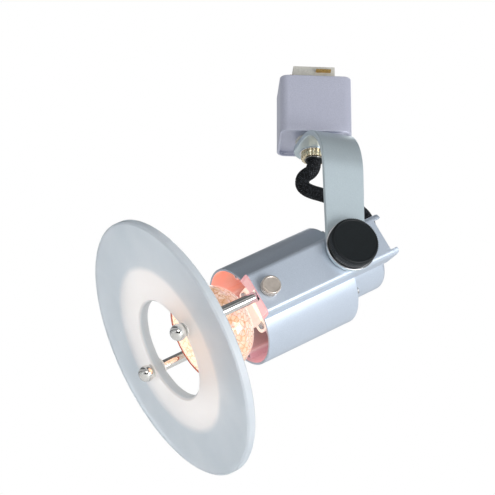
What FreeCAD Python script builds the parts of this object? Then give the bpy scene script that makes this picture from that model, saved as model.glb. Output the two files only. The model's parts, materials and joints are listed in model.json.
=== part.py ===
import FreeCAD
import Part
import Sketcher
import math
import os
import re
from FreeCAD import Placement, Rotation, Vector

# Track spotlight. Origin: middle of the adapter's top face, which seats under the track.
# +X runs along the track, +Z up. Millimetres and degrees.
# The bracket hangs on the origin's vertical axis, turned by aimAngle. In its frame the arm is on the -Y side.
# The head's frame starts at the knob axis on the arm's outer face: +X rearwards along the lamp axis,
# +Y from the arm into the head, +Z up at right angles to the lamp axis, tipped forward by tiltAngle.

sizes = [
    ("adapterLength", 42.5, "adapter housing along the track"),
    ("adapterDepth", 35, "adapter housing across the track"),
    ("adapterHeight", 37, "adapter housing height"),
    ("adapterCorner", 5, "vertical corner radius"),
    ("adapterWall", 1.8, "housing wall"),
    ("rimWall", 1.5, "thin rim round the underside"),
    ("floorRecess", 2, "floor above the rim's lower edge"),
    ("floorThickness", 2, "housing floor"),
    ("baseThickness", 4, "insulating plate in the housing's mouth"),
    ("bossX", 16.2, "screw boss from the middle, along the track"),
    ("bossY", 12.4, "screw boss from the middle, across the track"),
    ("bossRadius", 3.4, "screw boss"),
    ("plugLength", 25, "contact stem along the track"),
    ("plugWidth", 9, "contact stem across the track"),
    ("plugHeight", 13, "contact stem above the track face"),
    ("baseScrewShank", 1.5, "screws that hold the insulating plate"),
    ("baseScrewHead", 2.7, "heads of those screws"),
    ("baseScrewDepth", 18, "bottom of their pilot holes below the track face"),
    ("bladeReach", 3, "contact blades beyond the stem"),
    ("bladeThickness", 1, "line and neutral blades"),
    ("latchX", 16.5, "latch plunger's centre along the track"),
    ("latchWidth", 6, "latch plunger across the track"),
    ("latchStock", 3, "latch plunger and arm along the track"),
    ("latchTip", 5, "latch plunger above the track face"),
    ("latchFoot", 14, "underside of the latch arm below the track face"),
    ("latchTravel", 4, "latch stroke"),
    ("springWire", 0.35, "latch spring's wire radius"),
    ("springRadius", 1.1, "latch spring's coil radius"),
    ("springPitch", 1.9, "latch spring's pitch"),
    ("springY", 8, "latch spring's axis across the track"),
    ("nippleRadius", 5.7, "threaded nipple"),
    ("nippleBore", 4.3, "bore radius of the nipple"),
    ("nippleEnd", 47.8, "lower end of the nipple below the track face"),
    ("nippleFlange", 9, "nipple's flange inside the housing"),
    ("bushingBore", 2.6, "bore radius of the cord bushing and the head's grommet"),
    ("swivelWasher", 1.2, "nylon washer under the floor"),
    ("strapTop", 39.5, "top of the strap below the track face"),
    ("strapWidth", 24, "strap bracket width"),
    ("strapThickness", 3.2, "strap bracket stock"),
    ("bendStart", 12, "flat of the strap from the swivel axis to the bend"),
    ("bendRadius", 39.4, "outside radius of the strap's bend"),
    ("knobDrop", 124.7, "knob axis below the track face"),
    ("knobOffset", 3.5, "knob axis beside the strap's centre line"),
    ("lobeRadius", 14, "round lower end of the strap"),
    ("lockNutRadius", 7.75, "serrated nut"),
    ("lockNutHeight", 4, "serrated nut"),
    ("lockWasher", 0.8, "washer above the serrated nut"),
    ("knobRadius", 14, "clamp knob"),
    ("knobHeight", 7, "clamp knob"),
    ("knobWasher", 1, "washer under the knob"),
    ("frictionDisc", 0.8, "fibre disc between arm and head"),
    ("studRadius", 3, "knob's stud"),
    ("insertRadius", 5, "threaded insert in the knob"),
    ("insertDepth", 4.5, "threaded insert in the knob"),
    ("webNutHeight", 4, "nut behind the spine's web"),
    ("holeGap", 0.3, "radial gap of clearance holes"),
    ("axisDepth", 42, "lamp axis from the arm's outer face"),
    ("axisDrop", 1, "lamp axis below the knob axis"),
    ("webFace", 4, "spine's web from the arm's outer face"),
    ("spineWall", 1.8, "spine channel's wall"),
    ("spineWidth", 26, "spine channel"),
    ("spineDepth", 12, "spine channel's flanges"),
    ("spineCorner", 3, "outside corner of the channel"),
    ("spineFront", 63.2, "channel's front end before the knob axis"),
    ("spineRear", 28, "flange tips behind the knob axis"),
    ("webRear", 23.5, "web's rear edge behind the knob axis"),
    ("prongWidth", 3.4, "flange prongs beside the notched web"),
    ("barrelRadius", 29.4, "lamp barrel"),
    ("barrelWall", 1.6, "lamp barrel"),
    ("barrelFront", 62, "barrel's mouth before the knob axis"),
    ("barrelRear", 0.5, "barrel's rear edge behind the knob axis"),
    ("portOffset", 18.5, "screw ports from the lamp axis, both ways"),
    ("portRadius", 2.6, "screw port"),
    ("portSetback", 2, "screw ports behind the barrel's mouth"),
    ("pilotRadius", 1.25, "pilot holes of the small screws"),
    ("screwShank", 1.2, "small screws"),
    ("plateThickness", 2, "rear end plate"),
    ("plateOpening", 14, "opening of the end plate into the cup"),
    ("cupRadius", 19, "rear cup"),
    ("cupLength", 28.8, "rear cup"),
    ("cupWall", 1.5, "rear cup"),
    ("cupRound", 4, "rounding of the cup's rear edge"),
    ("grommetDepth", 18.3, "cord entry from the arm's outer face"),
    ("grommetRise", 5, "cord entry above the knob axis"),
    ("grommetRadius", 4.9, "cord entry grommet"),
    ("grommetHeight", 2.5, "grommet behind the end plate"),
    ("socketFront", 52, "lamp socket's face before the knob axis"),
    ("socketRear", 40, "lamp socket's back before the knob axis"),
    ("lampFront", 92, "lamp's rim before the knob axis"),
    ("lampRadius", 25.3, "lamp reflector's rim"),
    ("neckRadius", 9.2, "lamp reflector's neck"),
    ("lampNeck", 60.5, "rear of the reflector before the knob axis"),
    ("lampGlass", 1.4, "wall of the reflector"),
    ("bowlSide", 24.6, "straight side of the lamp's bowl"),
    ("bowlShoulder", 74.6, "where the bowl turns in, before the knob axis"),
    ("bowlRadius", 19.7, "curve of the reflector's bowl"),
    ("lampBaseEnd", 53.5, "rear of the lamp's ceramic base before the knob axis"),
    ("socketScrewX", 9.5, "socket screws beside the lamp axis"),
    ("socketWidth", 26, "lamp socket"),
    ("socketDepth", 16, "lamp socket"),
    ("bracketWidth", 12, "socket bracket's strip"),
    ("bracketStock", 1.2, "socket bracket's strip"),
    ("bracketReach", 19.2, "outside of the socket bracket from the lamp axis"),
    ("bracketFoot", 24, "end of the socket bracket's feet from the lamp axis"),
    ("pinSpacing", 5.3, "lamp pins"),
    ("pinRadius", 0.8, "lamp pins"),
    ("rodRadius", 3, "carriage rod"),
    ("rodSpread", 32.9, "rods from the lamp axis"),
    ("rodRear", 30, "rear end of the rods before the knob axis"),
    ("rodThread", 2, "threaded end of a rod"),
    ("boreGap", 0.1, "running fit of the rods in their guides"),
    ("guideRear", 45, "rear of the near guide before the knob axis"),
    ("farGuideRear", 40, "rear of the far guide before the knob axis"),
    ("farGuideWidth", 14, "far guide"),
    ("farGuideDepth", 8.5, "far guide outside the barrel"),
    ("nearScrewX", 55, "near guide's screws before the knob axis"),
    ("nearScrewSide", 8, "near guide's screws beside the lamp axis"),
    ("nearScrewHead", 16.2, "seat of the near guide's screw heads from the arm's outer face"),
    ("farScrewX", 51, "far guide's screws before the knob axis"),
    ("farScrewSide", 5.2, "far guide's screws beside the lamp axis"),
    ("farScrewHead", 26.8, "seat of the far guide's screw heads from the lamp axis"),
    ("thumbX", 55.6, "thumbscrew before the knob axis"),
    ("thumbRadius", 5.6, "thumbscrew head"),
    ("thumbHeight", 5.6, "thumbscrew head"),
    ("discRadius", 76.2, "glass disc, six inches across"),
    ("discHole", 29, "opening of the glass disc"),
    ("discThickness", 5.5, "glass disc"),
    ("discFront", 110, "glass disc's front face before the knob axis"),
    ("discEase", 1, "eased outer edge of the glass"),
    ("discBevel", 1.5, "bevel round the opening"),
    ("rearWasher", 0.8, "soft washer behind the glass"),
    ("frontWasher", 0.6, "soft washer before the glass"),
    ("ballRadius", 4.75, "ball nut"),
    ("ballCentre", 4.2, "ball nut's centre before the glass"),
    ("cordRadius", 4.2, "braided sleeve with the lamp leads"),
    ("aimAngle", 14, "bracket turned about the vertical"),
    ("tiltAngle", 31.6, "lamp axis below the horizontal"),
]

doc = FreeCAD.newDocument("TrackSpotlight")
dims = doc.addObject("Spreadsheet::Sheet", "dims")
pieces = []


def fillSheet():
    for row, (alias, value, note) in enumerate(sizes, start=1):
        dims.set("A%d" % row, note)
        dims.set("B%d" % row, str(value))
        dims.setAlias("B%d" % row, alias)
    doc.recompute()


def val(text):
    # The number that an expression in the sheet's names has now.
    number = dims.evalExpression(str(text))
    return float(getattr(number, "Value", number))


def bound(text):
    return re.sub(r"\b([A-Za-z]\w*)", r"dims.\1", str(text))


def tie(item, name, text):
    item.setExpression(name, bound(text))


# Sketches and features --------------------------------------------------------------------------------------

def newBody(label):
    return doc.addObject("PartDesign::Body", label + "Body")


def sketchOn(body, role, offset="0"):
    # XY_Plane looks along +Z, XZ_Plane along -Y and YZ_Plane along +X; the offset runs the same way.
    plane = next(item for item in body.Origin.OriginFeatures if item.Role == role)
    sketch = body.newObject("Sketcher::SketchObject", body.Name + "Sketch")
    sketch.AttachmentSupport = (plane, [""])
    sketch.MapMode = "FlatFace"
    tie(sketch, "AttachmentOffset.Base.z", offset)
    return sketch


def pinPoint(sketch, curve, end, x, y):
    for kind, text in (("DistanceX", x), ("DistanceY", y)):
        index = sketch.addConstraint(Sketcher.Constraint(kind, -1, 1, curve, end, val(text)))
        tie(sketch, "Constraints[%d]" % index, text)


def arcBetween(start, end, radius, side):
    # The short arc from start to end, with its centre to the left or the right of the way it goes.
    chord = end - start
    middle = (start + end) * 0.5
    height = math.sqrt(max(radius ** 2 - (chord.Length / 2) ** 2, 0))
    left = Vector(-chord.y, chord.x, 0).normalize()
    centre = middle + left * (height if side == "left" else -height)
    first, last = (start, end) if side == "left" else (end, start)
    firstAngle = math.atan2(first.y - centre.y, first.x - centre.x)
    lastAngle = math.atan2(last.y - centre.y, last.x - centre.x)
    if lastAngle < firstAngle:
        lastAngle += 2 * math.pi
    return Part.ArcOfCircle(Part.Circle(centre, Vector(0, 0, 1), radius), firstAngle, lastAngle)


def outline(sketch, corners):
    # A closed outline. A corner (x, y) starts a straight side, and (x, y, radius, side) starts an arc.
    points = [Vector(val(corner[0]), val(corner[1]), 0) for corner in corners]
    ends = []
    for index, corner in enumerate(corners):
        here = points[index]
        there = points[(index + 1) % len(points)]
        if len(corner) == 2:
            curve = sketch.addGeometry(Part.LineSegment(here, there), False)
            ends.append((curve, 1, 2))
            continue
        curve = sketch.addGeometry(arcBetween(here, there, val(corner[2]), corner[3]), False)
        ends.append((curve, 1, 2) if corner[3] == "left" else (curve, 2, 1))
        number = sketch.addConstraint(Sketcher.Constraint("Radius", curve, val(corner[2])))
        tie(sketch, "Constraints[%d]" % number, corner[2])
    for index, corner in enumerate(corners):
        curve, start, end = ends[index]
        nextCurve, nextStart, nextEnd = ends[(index + 1) % len(ends)]
        sketch.addConstraint(Sketcher.Constraint("Coincident", curve, end, nextCurve, nextStart))
        pinPoint(sketch, curve, start, corner[0], corner[1])


def rectangle(x0, x1, y0, y1):
    return [(x0, y0), (x1, y0), (x1, y1), (x0, y1)]


def roundedRectangle(halfX, halfY, radius):
    x = "(%s)" % halfX
    y = "(%s)" % halfY
    bend = (radius, "left")
    return [
        ("-%s + %s" % (x, radius), "-%s" % y),
        ("%s - %s" % (x, radius), "-%s" % y) + bend,
        (x, "-%s + %s" % (y, radius)),
        (x, "%s - %s" % (y, radius)) + bend,
        ("%s - %s" % (x, radius), y),
        ("-%s + %s" % (x, radius), y) + bend,
        ("-%s" % x, "%s - %s" % (y, radius)),
        ("-%s" % x, "-%s + %s" % (y, radius)) + bend,
    ]


def circle(sketch, x, y, radius):
    shape = Part.Circle(Vector(val(x), val(y), 0), Vector(0, 0, 1), val(radius))
    curve = sketch.addGeometry(shape, False)
    pinPoint(sketch, curve, 3, x, y)
    number = sketch.addConstraint(Sketcher.Constraint("Radius", curve, val(radius)))
    tie(sketch, "Constraints[%d]" % number, radius)


def volumeOf(body):
    doc.recompute()
    return body.Shape.Volume if body.Tip else 0


def pad(body, sketch, length):
    feature = body.newObject("PartDesign::Pad", body.Name + "Pad")
    feature.Profile = sketch
    tie(feature, "Length", length)
    doc.recompute()
    return feature


def pocket(body, sketch, length):
    # Cuts the same way as a pad of that length would grow.
    before = volumeOf(body)
    feature = body.newObject("PartDesign::Pocket", body.Name + "Pocket")
    feature.Profile = sketch
    feature.Reversed = True
    tie(feature, "Length", length)
    if volumeOf(body) > before - 0.01:
        raise RuntimeError(body.Name + ": a pocket cuts nothing")
    return feature


def padOutline(body, role, offset, corners, length):
    sketch = sketchOn(body, role, offset)
    outline(sketch, corners)
    return pad(body, sketch, length)


def cutOutline(body, role, offset, corners, length):
    sketch = sketchOn(body, role, offset)
    outline(sketch, corners)
    return pocket(body, sketch, length)


def padCircles(body, role, offset, circles, length):
    sketch = sketchOn(body, role, offset)
    for x, y, radius in circles:
        circle(sketch, x, y, radius)
    return pad(body, sketch, length)


def cutCircles(body, role, offset, circles, length):
    sketch = sketchOn(body, role, offset)
    for x, y, radius in circles:
        circle(sketch, x, y, radius)
    return pocket(body, sketch, length)


def revolved(label, corners):
    # A solid of revolution about local Z, from an outline of (radius, height) corners.
    body = newBody(label)
    sketch = sketchOn(body, "XZ_Plane")
    outline(sketch, corners)
    feature = body.newObject("PartDesign::Revolution", body.Name + "Revolution")
    feature.Profile = sketch
    feature.ReferenceAxis = (sketch, ["V_Axis"])
    feature.Angle = 360
    doc.recompute()
    return body


def ring(label, outer, inner, low, high):
    return revolved(label, rectangle(inner, outer, low, high))


# Part primitives --------------------------------------------------------------------------------------------

def block(label, x0, x1, y0, y1, z0, z1):
    box = doc.addObject("Part::Box", label)
    tie(box, "Length", "(%s) - (%s)" % (x1, x0))
    tie(box, "Width", "(%s) - (%s)" % (y1, y0))
    tie(box, "Height", "(%s) - (%s)" % (z1, z0))
    box.Placement = Placement(Vector(val(x0), val(y0), val(z0)), Rotation())
    return box


def cylinder(label, radius, low, high, x="0", y="0"):
    post = doc.addObject("Part::Cylinder", label)
    tie(post, "Radius", radius)
    tie(post, "Height", "(%s) - (%s)" % (high, low))
    post.Placement = Placement(Vector(val(x), val(y), val(low)), Rotation())
    return post


def fused(label, parts):
    whole = doc.addObject("Part::MultiFuse", label)
    whole.Shapes = parts
    return whole


def grouped(label, parts):
    group = doc.addObject("Part::Compound", label)
    group.Links = parts
    return group


def screw(label, headRadius, headHeight, shankRadius, length, place):
    # A pan-head screw whose head sits on local z = 0 and whose shank points down.
    head = cylinder(label + "Head", headRadius, "0", headHeight)
    shank = cylinder(label + "Shank", shankRadius, "-(%s)" % length, "0")
    whole = fused(label, [head, shank])
    whole.Placement = place
    return whole


def keep(item, label, frame=None):
    if frame is not None:
        item.Placement = frame.multiply(item.Placement)
    item.Label = label
    pieces.append(item)


# Frames -----------------------------------------------------------------------------------------------------

def swivelFrame():
    return Placement(Vector(), Rotation(Vector(0, 0, 1), val("aimAngle")))


def headFrame():
    knob = Vector(val("knobOffset"), -val("bendStart + bendRadius"), -val("knobDrop"))
    return swivelFrame().multiply(Placement(knob, Rotation(Vector(0, 1, 0), -val("tiltAngle"))))


def shifted(frame, x, y, z):
    return frame.multiply(Placement(Vector(val(x), val(y), val(z)), Rotation()))


def opticalFrame(y="axisDepth", z="-axisDrop"):
    # Local Z runs rearwards along the lamp axis, local X down and local Y away from the arm.
    turned = Placement(Vector(), Rotation(Vector(0, 1, 0), 90))
    return shifted(headFrame(), "0", y, z).multiply(turned)


def outward(frame):
    # Local Z runs from the head out through the arm.
    return frame.multiply(Placement(Vector(), Rotation(Vector(1, 0, 0), 90)))


def inward(frame):
    return frame.multiply(Placement(Vector(), Rotation(Vector(1, 0, 0), -90)))


# Adapter ----------------------------------------------------------------------------------------------------

def adapterHousing():
    body = newBody("housing")
    shell = roundedRectangle("adapterLength / 2", "adapterDepth / 2", "adapterCorner")
    padOutline(body, "XY_Plane", "-adapterHeight", shell, "adapterHeight")
    inside = roundedRectangle("adapterLength / 2 - adapterWall", "adapterDepth / 2 - adapterWall",
                              "(adapterCorner - adapterWall)")
    hollow = "adapterHeight - floorRecess - floorThickness"
    cutOutline(body, "XY_Plane", "-(%s)" % hollow, inside, hollow)
    recess = roundedRectangle("adapterLength / 2 - rimWall", "adapterDepth / 2 - rimWall",
                              "(adapterCorner - rimWall)")
    cutOutline(body, "XY_Plane", "-adapterHeight", recess, "floorRecess")
    bosses = [("-bossX", "bossY", "bossRadius"), ("bossX", "-bossY", "bossRadius")]
    padCircles(body, "XY_Plane", "-(%s)" % hollow, bosses, hollow + " - baseThickness")
    pilot = "baseScrewShank + 0.05"
    pilots = [("-bossX", "bossY", pilot), ("bossX", "-bossY", pilot)]
    cutCircles(body, "XY_Plane", "-baseScrewDepth", pilots, "baseScrewDepth - baseThickness")
    swivelHole = [("0", "0", "nippleRadius + holeGap")]
    cutCircles(body, "XY_Plane", "-adapterHeight", swivelHole, "floorRecess + floorThickness")
    side = "(latchStock / 2 + 0.4)"
    low = "-latchFoot - latchTravel - 0.4"
    slot = rectangle("latchX - " + side, "latchX + " + side, low, "-latchFoot + 4.4")
    cutOutline(body, "XZ_Plane", "-adapterDepth / 2", slot, "adapterWall + 1")
    keep(body, "adapter_housing")


def contactBase():
    body = newBody("contactBase")
    plate = roundedRectangle("adapterLength / 2 - adapterWall - 0.1", "adapterDepth / 2 - adapterWall - 0.1",
                             "(adapterCorner - adapterWall)")
    padOutline(body, "XY_Plane", "-baseThickness", plate, "baseThickness")
    stem = rectangle("-plugLength / 2", "plugLength / 2", "-plugWidth / 2", "plugWidth / 2")
    padOutline(body, "XY_Plane", "0", stem, "plugHeight")
    seat = "baseScrewHead + 0.2"
    seats = [("-bossX", "bossY", seat), ("bossX", "-bossY", seat)]
    cutCircles(body, "XY_Plane", "-baseThickness / 2", seats, "baseThickness / 2")
    hole = "baseScrewShank + 0.2"
    holes = [("-bossX", "bossY", hole), ("bossX", "-bossY", hole)]
    cutCircles(body, "XY_Plane", "-baseThickness", holes, "baseThickness")
    side = "(latchStock / 2 + 0.4)"
    across = "(latchWidth / 2 + 0.4)"
    window = rectangle("latchX - " + side, "latchX + " + side, "-" + across, across)
    cutOutline(body, "XY_Plane", "-baseThickness", window, "baseThickness")
    keep(body, "contact_base")


def contactBlades():
    side = "plugWidth / 2"
    low = "plugHeight - 4"
    high = low + " + bladeThickness"
    keep(block("line", "-10", "-1", side, side + " + bladeReach", low, high), "line_contact")
    keep(block("neutral", "1", "10", "-%s - bladeReach" % side, "-" + side, low, high), "neutral_contact")
    end = "-plugLength / 2"
    keep(block("ground", end + " - 2", end, "-3", "3", "3", "8"), "ground_contact")


def housingScrews():
    places = (("-bossX", "bossY"), ("bossX", "-bossY"))
    screws = []
    for number, (x, y) in enumerate(places):
        place = Placement(Vector(val(x), val(y), val("-baseThickness / 2")), Rotation())
        screws.append(screw("baseScrew%d" % number, "baseScrewHead", "1.7", "baseScrewShank", "11", place))
    keep(grouped("housingScrews", screws), "housing_screws")


def trackLatch():
    low = "latchX - latchStock / 2"
    high = "latchX + latchStock / 2"
    inner = "-latchWidth / 2"
    foot = "-latchFoot"
    outer = "adapterDepth / 2 + 0.3"
    plunger = block("plunger", low, high, inner, "latchWidth / 2", foot, "latchTip")
    arm = block("latchArm", low, high, inner, outer, foot, foot + " + 4")
    tab = block("latchTab", low + " - 2", high + " + 2", outer, outer + " + 2", foot + " - 1", foot + " + 5")
    keep(fused("latch", [plunger, arm, tab]), "track_latch")


def latchSpring():
    # A compression coil between the housing floor and the latch arm.
    wire = val("springWire")
    radius = val("springRadius")
    low = -val("adapterHeight - floorRecess - floorThickness") + wire
    high = -val("latchFoot") - wire
    helix = Part.makeHelix(val("springPitch"), high - low, radius)
    ring = Part.Wire(Part.Circle(Vector(radius, 0, 0), Vector(0, 1, 0.27), wire).toShape())
    coil = Part.Wire(helix.Edges).makePipeShell([ring], True, True)
    spring = doc.addObject("Part::Feature", "spring")
    spring.Shape = coil
    spring.Placement = Placement(Vector(val("latchX"), val("springY"), low), Rotation())
    keep(spring, "latch_spring")


def swivelWashers():
    floorTop = "-(adapterHeight - floorRecess - floorThickness)"
    floorUnder = "-(adapterHeight - floorRecess)"
    inner = "nippleRadius + 0.1"
    keep(ring("upperWasher", "10", inner, floorTop, floorTop + " + 1"), "upper_swivel_washer")
    keep(ring("lowerWasher", "11", inner, floorUnder + " - swivelWasher", floorUnder), "lower_swivel_washer")


# Bracket ----------------------------------------------------------------------------------------------------

def stemNipple():
    flange = "-(adapterHeight - floorRecess - floorThickness) + 1"
    body = revolved("nipple", [
        ("nippleBore", "-nippleEnd"), ("nippleRadius", "-nippleEnd"), ("nippleRadius", flange),
        ("nippleFlange", flange), ("nippleFlange", flange + " + 2.5"), ("nippleBore", flange + " + 2.5")])
    keep(body, "stem_nipple", swivelFrame())


def spacerCollar():
    high = "-(adapterHeight - floorRecess) - swivelWasher"
    keep(ring("collar", "10", "nippleRadius", "-strapTop", high), "spacer_collar", swivelFrame())


def strapBracket():
    body = newBody("strap")
    edge = "bendStart + bendRadius"
    side = [
        ("0", "-strapTop - strapThickness"),
        ("0", "-strapTop"),
        ("-bendStart", "-strapTop", "bendRadius", "left"),
        ("-(%s)" % edge, "-strapTop - bendRadius"),
        ("-(%s)" % edge, "-knobDrop"),
        ("-(%s) + strapThickness" % edge, "-knobDrop"),
        ("-(%s) + strapThickness" % edge, "-strapTop - bendRadius", "bendRadius - strapThickness", "right"),
        ("-bendStart", "-strapTop - strapThickness"),
    ]
    padOutline(body, "YZ_Plane", "-strapWidth / 2", side, "strapWidth")
    padCircles(body, "XY_Plane", "-strapTop - strapThickness", [("0", "0", "strapWidth / 2")],
               "strapThickness")
    armInside = edge + " - strapThickness"
    # One edge of the arm leans in until it meets the round end.
    wedge = [
        ("-strapWidth / 2 - 1", "-knobDrop"), ("-strapWidth / 2 - 1", "-strapTop - bendRadius"),
        ("-strapWidth / 2", "-strapTop - bendRadius"), ("knobOffset - lobeRadius", "-knobDrop")]
    cutOutline(body, "XZ_Plane", armInside, wedge, "strapThickness")
    padCircles(body, "XZ_Plane", armInside, [("knobOffset", "-knobDrop", "lobeRadius")], "strapThickness")
    cutCircles(body, "XY_Plane", "-strapTop - strapThickness", [("0", "0", "nippleRadius")],
               "strapThickness")
    studHole = [("knobOffset", "-knobDrop", "studRadius + holeGap")]
    cutCircles(body, "XZ_Plane", armInside, studHole, "strapThickness")
    keep(body, "strap_bracket", swivelFrame())


def lockNut():
    top = "-strapTop - strapThickness"
    washer = ring("nutWasher", "lockNutRadius + 0.85", "nippleRadius", top + " - lockWasher", top)
    keep(washer, "lock_washer", swivelFrame())
    body = newBody("nut")
    low = top + " - lockWasher - lockNutHeight"
    padCircles(body, "XY_Plane", low, [("0", "0", "lockNutRadius"), ("0", "0", "nippleRadius")],
               "lockNutHeight")
    notch = cutCircles(body, "XY_Plane", low, [("lockNutRadius + 0.25", "0", "0.6")], "lockNutHeight")
    pattern = body.newObject("PartDesign::PolarPattern", "nutSerration")
    pattern.Originals = [notch]
    pattern.Axis = (notch.Profile[0], ["N_Axis"])
    pattern.Angle = 360
    pattern.Occurrences = 24
    body.Tip = pattern
    keep(body, "lock_nut", swivelFrame())


def cordBushing():
    body = revolved("bushing", [
        ("bushingBore", "-nippleEnd - 1"), ("5.3", "-nippleEnd - 1"), ("5.3", "-nippleEnd"),
        ("nippleBore - 0.05", "-nippleEnd"), ("nippleBore - 0.05", "-nippleEnd + 7"),
        ("bushingBore", "-nippleEnd + 7")])
    keep(body, "cord_bushing", swivelFrame())


def knobPieces():
    # Heights are from the arm's outer face, outwards.
    frame = outward(headFrame())
    washer = ring("knobWasher", "knobRadius + 0.75", "studRadius + holeGap", "0", "knobWasher")
    keep(washer, "knob_washer", frame)
    top = "knobWasher + knobHeight"
    knob = revolved("knob", [
        ("insertRadius", "knobWasher"), ("knobRadius - 0.4", "knobWasher"),
        ("knobRadius", "knobWasher + 0.4"), ("knobRadius", top + " - 0.8"), ("knobRadius - 0.6", top),
        ("knobRadius - 1.1", top), ("knobRadius - 1.4", top + " - 0.3"), ("0", top + " - 0.3"),
        ("0", "knobWasher + insertDepth"), ("insertRadius", "knobWasher + insertDepth")])
    keep(knob, "clamp_knob", frame)
    insert = ring("insert", "insertRadius", "studRadius", "knobWasher", "knobWasher + insertDepth")
    keep(insert, "knob_insert", frame)
    stud = cylinder("stud", "studRadius", "-webFace - spineWall - webNutHeight", "knobWasher + insertDepth")
    keep(stud, "knob_stud", frame)


# Head: spine ------------------------------------------------------------------------------------------------

def spineChannel():
    body = newBody("spine")
    low = "-axisDrop - spineWidth / 2"
    high = "-axisDrop + spineWidth / 2"
    edge = "webFace + spineDepth"
    section = [
        (edge, low + " + spineWall"), ("webFace + spineWall", low + " + spineWall"),
        ("webFace + spineWall", high + " - spineWall"), (edge, high + " - spineWall"),
        (edge, high), ("webFace + spineCorner", high, "spineCorner", "left"),
        ("webFace", high + " - spineCorner"), ("webFace", low + " + spineCorner", "spineCorner", "left"),
        ("webFace + spineCorner", low), (edge, low)]
    padOutline(body, "YZ_Plane", "-spineFront", section, "spineFront + spineRear")
    notch = rectangle("webRear", "spineRear + 1", low + " + prongWidth", high + " - prongWidth")
    cutOutline(body, "XZ_Plane", "-webFace - spineWall - 1", notch, "spineWall + 2")
    slant = [("spineRear", "webFace + 1"), ("spineRear + 1", "webFace + 1"),
             ("spineRear + 1", edge + " + 1"), ("webRear", edge + " + 1")]
    cutOutline(body, "XY_Plane", low + " - 1", slant, "spineWidth + 2")
    tube = [("axisDepth", "-axisDrop", "barrelRadius")]
    cutCircles(body, "YZ_Plane", "-spineFront - 1", tube, "spineFront + 1 + barrelRear")
    holes = [("0", "0", "4.5"), ("-thumbX", "-axisDrop", "2.05")]
    cutCircles(body, "XZ_Plane", "-webFace - spineWall - 1", holes, "spineWall + 2")
    keep(body, "spine_channel", headFrame())


def tiltFriction():
    frame = outward(headFrame())
    disc = ring("friction", "13", "studRadius + holeGap", "-webFace", "-webFace + frictionDisc")
    keep(disc, "friction_disc", frame)
    inside = "-webFace - spineWall"
    nut = revolved("webNut", [
        ("studRadius + 0.05", inside + " - webNutHeight"), ("5.5", inside + " - webNutHeight"),
        ("5.5", inside), ("4.45", inside), ("4.45", "-webFace"), ("studRadius + 0.05", "-webFace")])
    keep(nut, "web_nut", frame)


def nearRodGuide():
    body = newBody("nearGuide")
    half = "spineWidth / 2 - spineWall"
    top = "webFace + spineWall"
    bar = rectangle(top, "webFace + spineDepth", "-axisDrop - (%s)" % half, "-axisDrop + %s" % half)
    padOutline(body, "YZ_Plane", "-spineFront", bar, "spineFront - guideRear")
    tube = [("axisDepth", "-axisDrop", "barrelRadius")]
    cutCircles(body, "YZ_Plane", "-spineFront - 1", tube, "spineFront + 2 - guideRear")
    rodDepth = "axisDepth - rodSpread"
    bore = "rodRadius + boreGap"
    groove = [
        (top + " - 1", "-axisDrop - (%s)" % bore), (rodDepth, "-axisDrop - (%s)" % bore, bore, "left"),
        (rodDepth, "-axisDrop + %s" % bore), (top + " - 1", "-axisDrop + %s" % bore)]
    cutOutline(body, "YZ_Plane", "-spineFront - 1", groove, "spineFront + 2 - guideRear")
    pilots = [("-nearScrewX", "-axisDrop %s nearScrewSide" % side, "pilotRadius") for side in "-+"]
    cutCircles(body, "XZ_Plane", "-webFace - spineDepth - 1", pilots, "8")
    keep(body, "near_rod_guide", headFrame())


def farRodGuide():
    body = newBody("farGuide")
    outer = "axisDepth + barrelRadius + farGuideDepth"
    half = "farGuideWidth / 2"
    inner = "axisDepth + barrelRadius - 4"
    bar = [
        (inner, "-axisDrop - " + half), (outer + " - 2", "-axisDrop - " + half, "2", "left"),
        (outer, "-axisDrop - %s + 2" % half), (outer, "-axisDrop + %s - 2" % half, "2", "left"),
        (outer + " - 2", "-axisDrop + " + half), (inner, "-axisDrop + " + half)]
    padOutline(body, "YZ_Plane", "-barrelFront", bar, "barrelFront - farGuideRear")
    tube = [("axisDepth", "-axisDrop", "barrelRadius")]
    cutCircles(body, "YZ_Plane", "-barrelFront - 1", tube, "barrelFront + 2 - farGuideRear")
    bore = [("axisDepth + rodSpread", "-axisDrop", "rodRadius + boreGap")]
    cutCircles(body, "YZ_Plane", "-barrelFront - 1", bore, "barrelFront + 2 - farGuideRear")
    pilots = [("-farScrewX", "-axisDrop %s farScrewSide" % side, "pilotRadius") for side in "-+"]
    cutCircles(body, "XZ_Plane", "-(axisDepth + barrelRadius + 5)", pilots, "9")
    keep(body, "far_rod_guide", headFrame())


def guideScrews():
    near = []
    far = []
    for number, side in enumerate("-+"):
        place = shifted(headFrame(), "-nearScrewX", "nearScrewHead", "-axisDrop %s nearScrewSide" % side)
        near.append(screw("nearScrew%d" % number, "2.2", "1.3", "screwShank", "6.5", inward(place)))
        place = shifted(headFrame(), "-farScrewX", "axisDepth + farScrewHead",
                        "-axisDrop %s farScrewSide" % side)
        far.append(screw("farScrew%d" % number, "1.9", "1.2", "screwShank", "6.5", outward(place)))
    keep(grouped("nearScrews", near), "guide_block_screws")
    keep(grouped("farScrews", far), "far_guide_screws")


# Head: barrel and rear --------------------------------------------------------------------------------------

def portCentres():
    return [("%s * portOffset" % a, "%s * portOffset" % b) for a in (-1, 1) for b in (-1, 1)]


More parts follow.
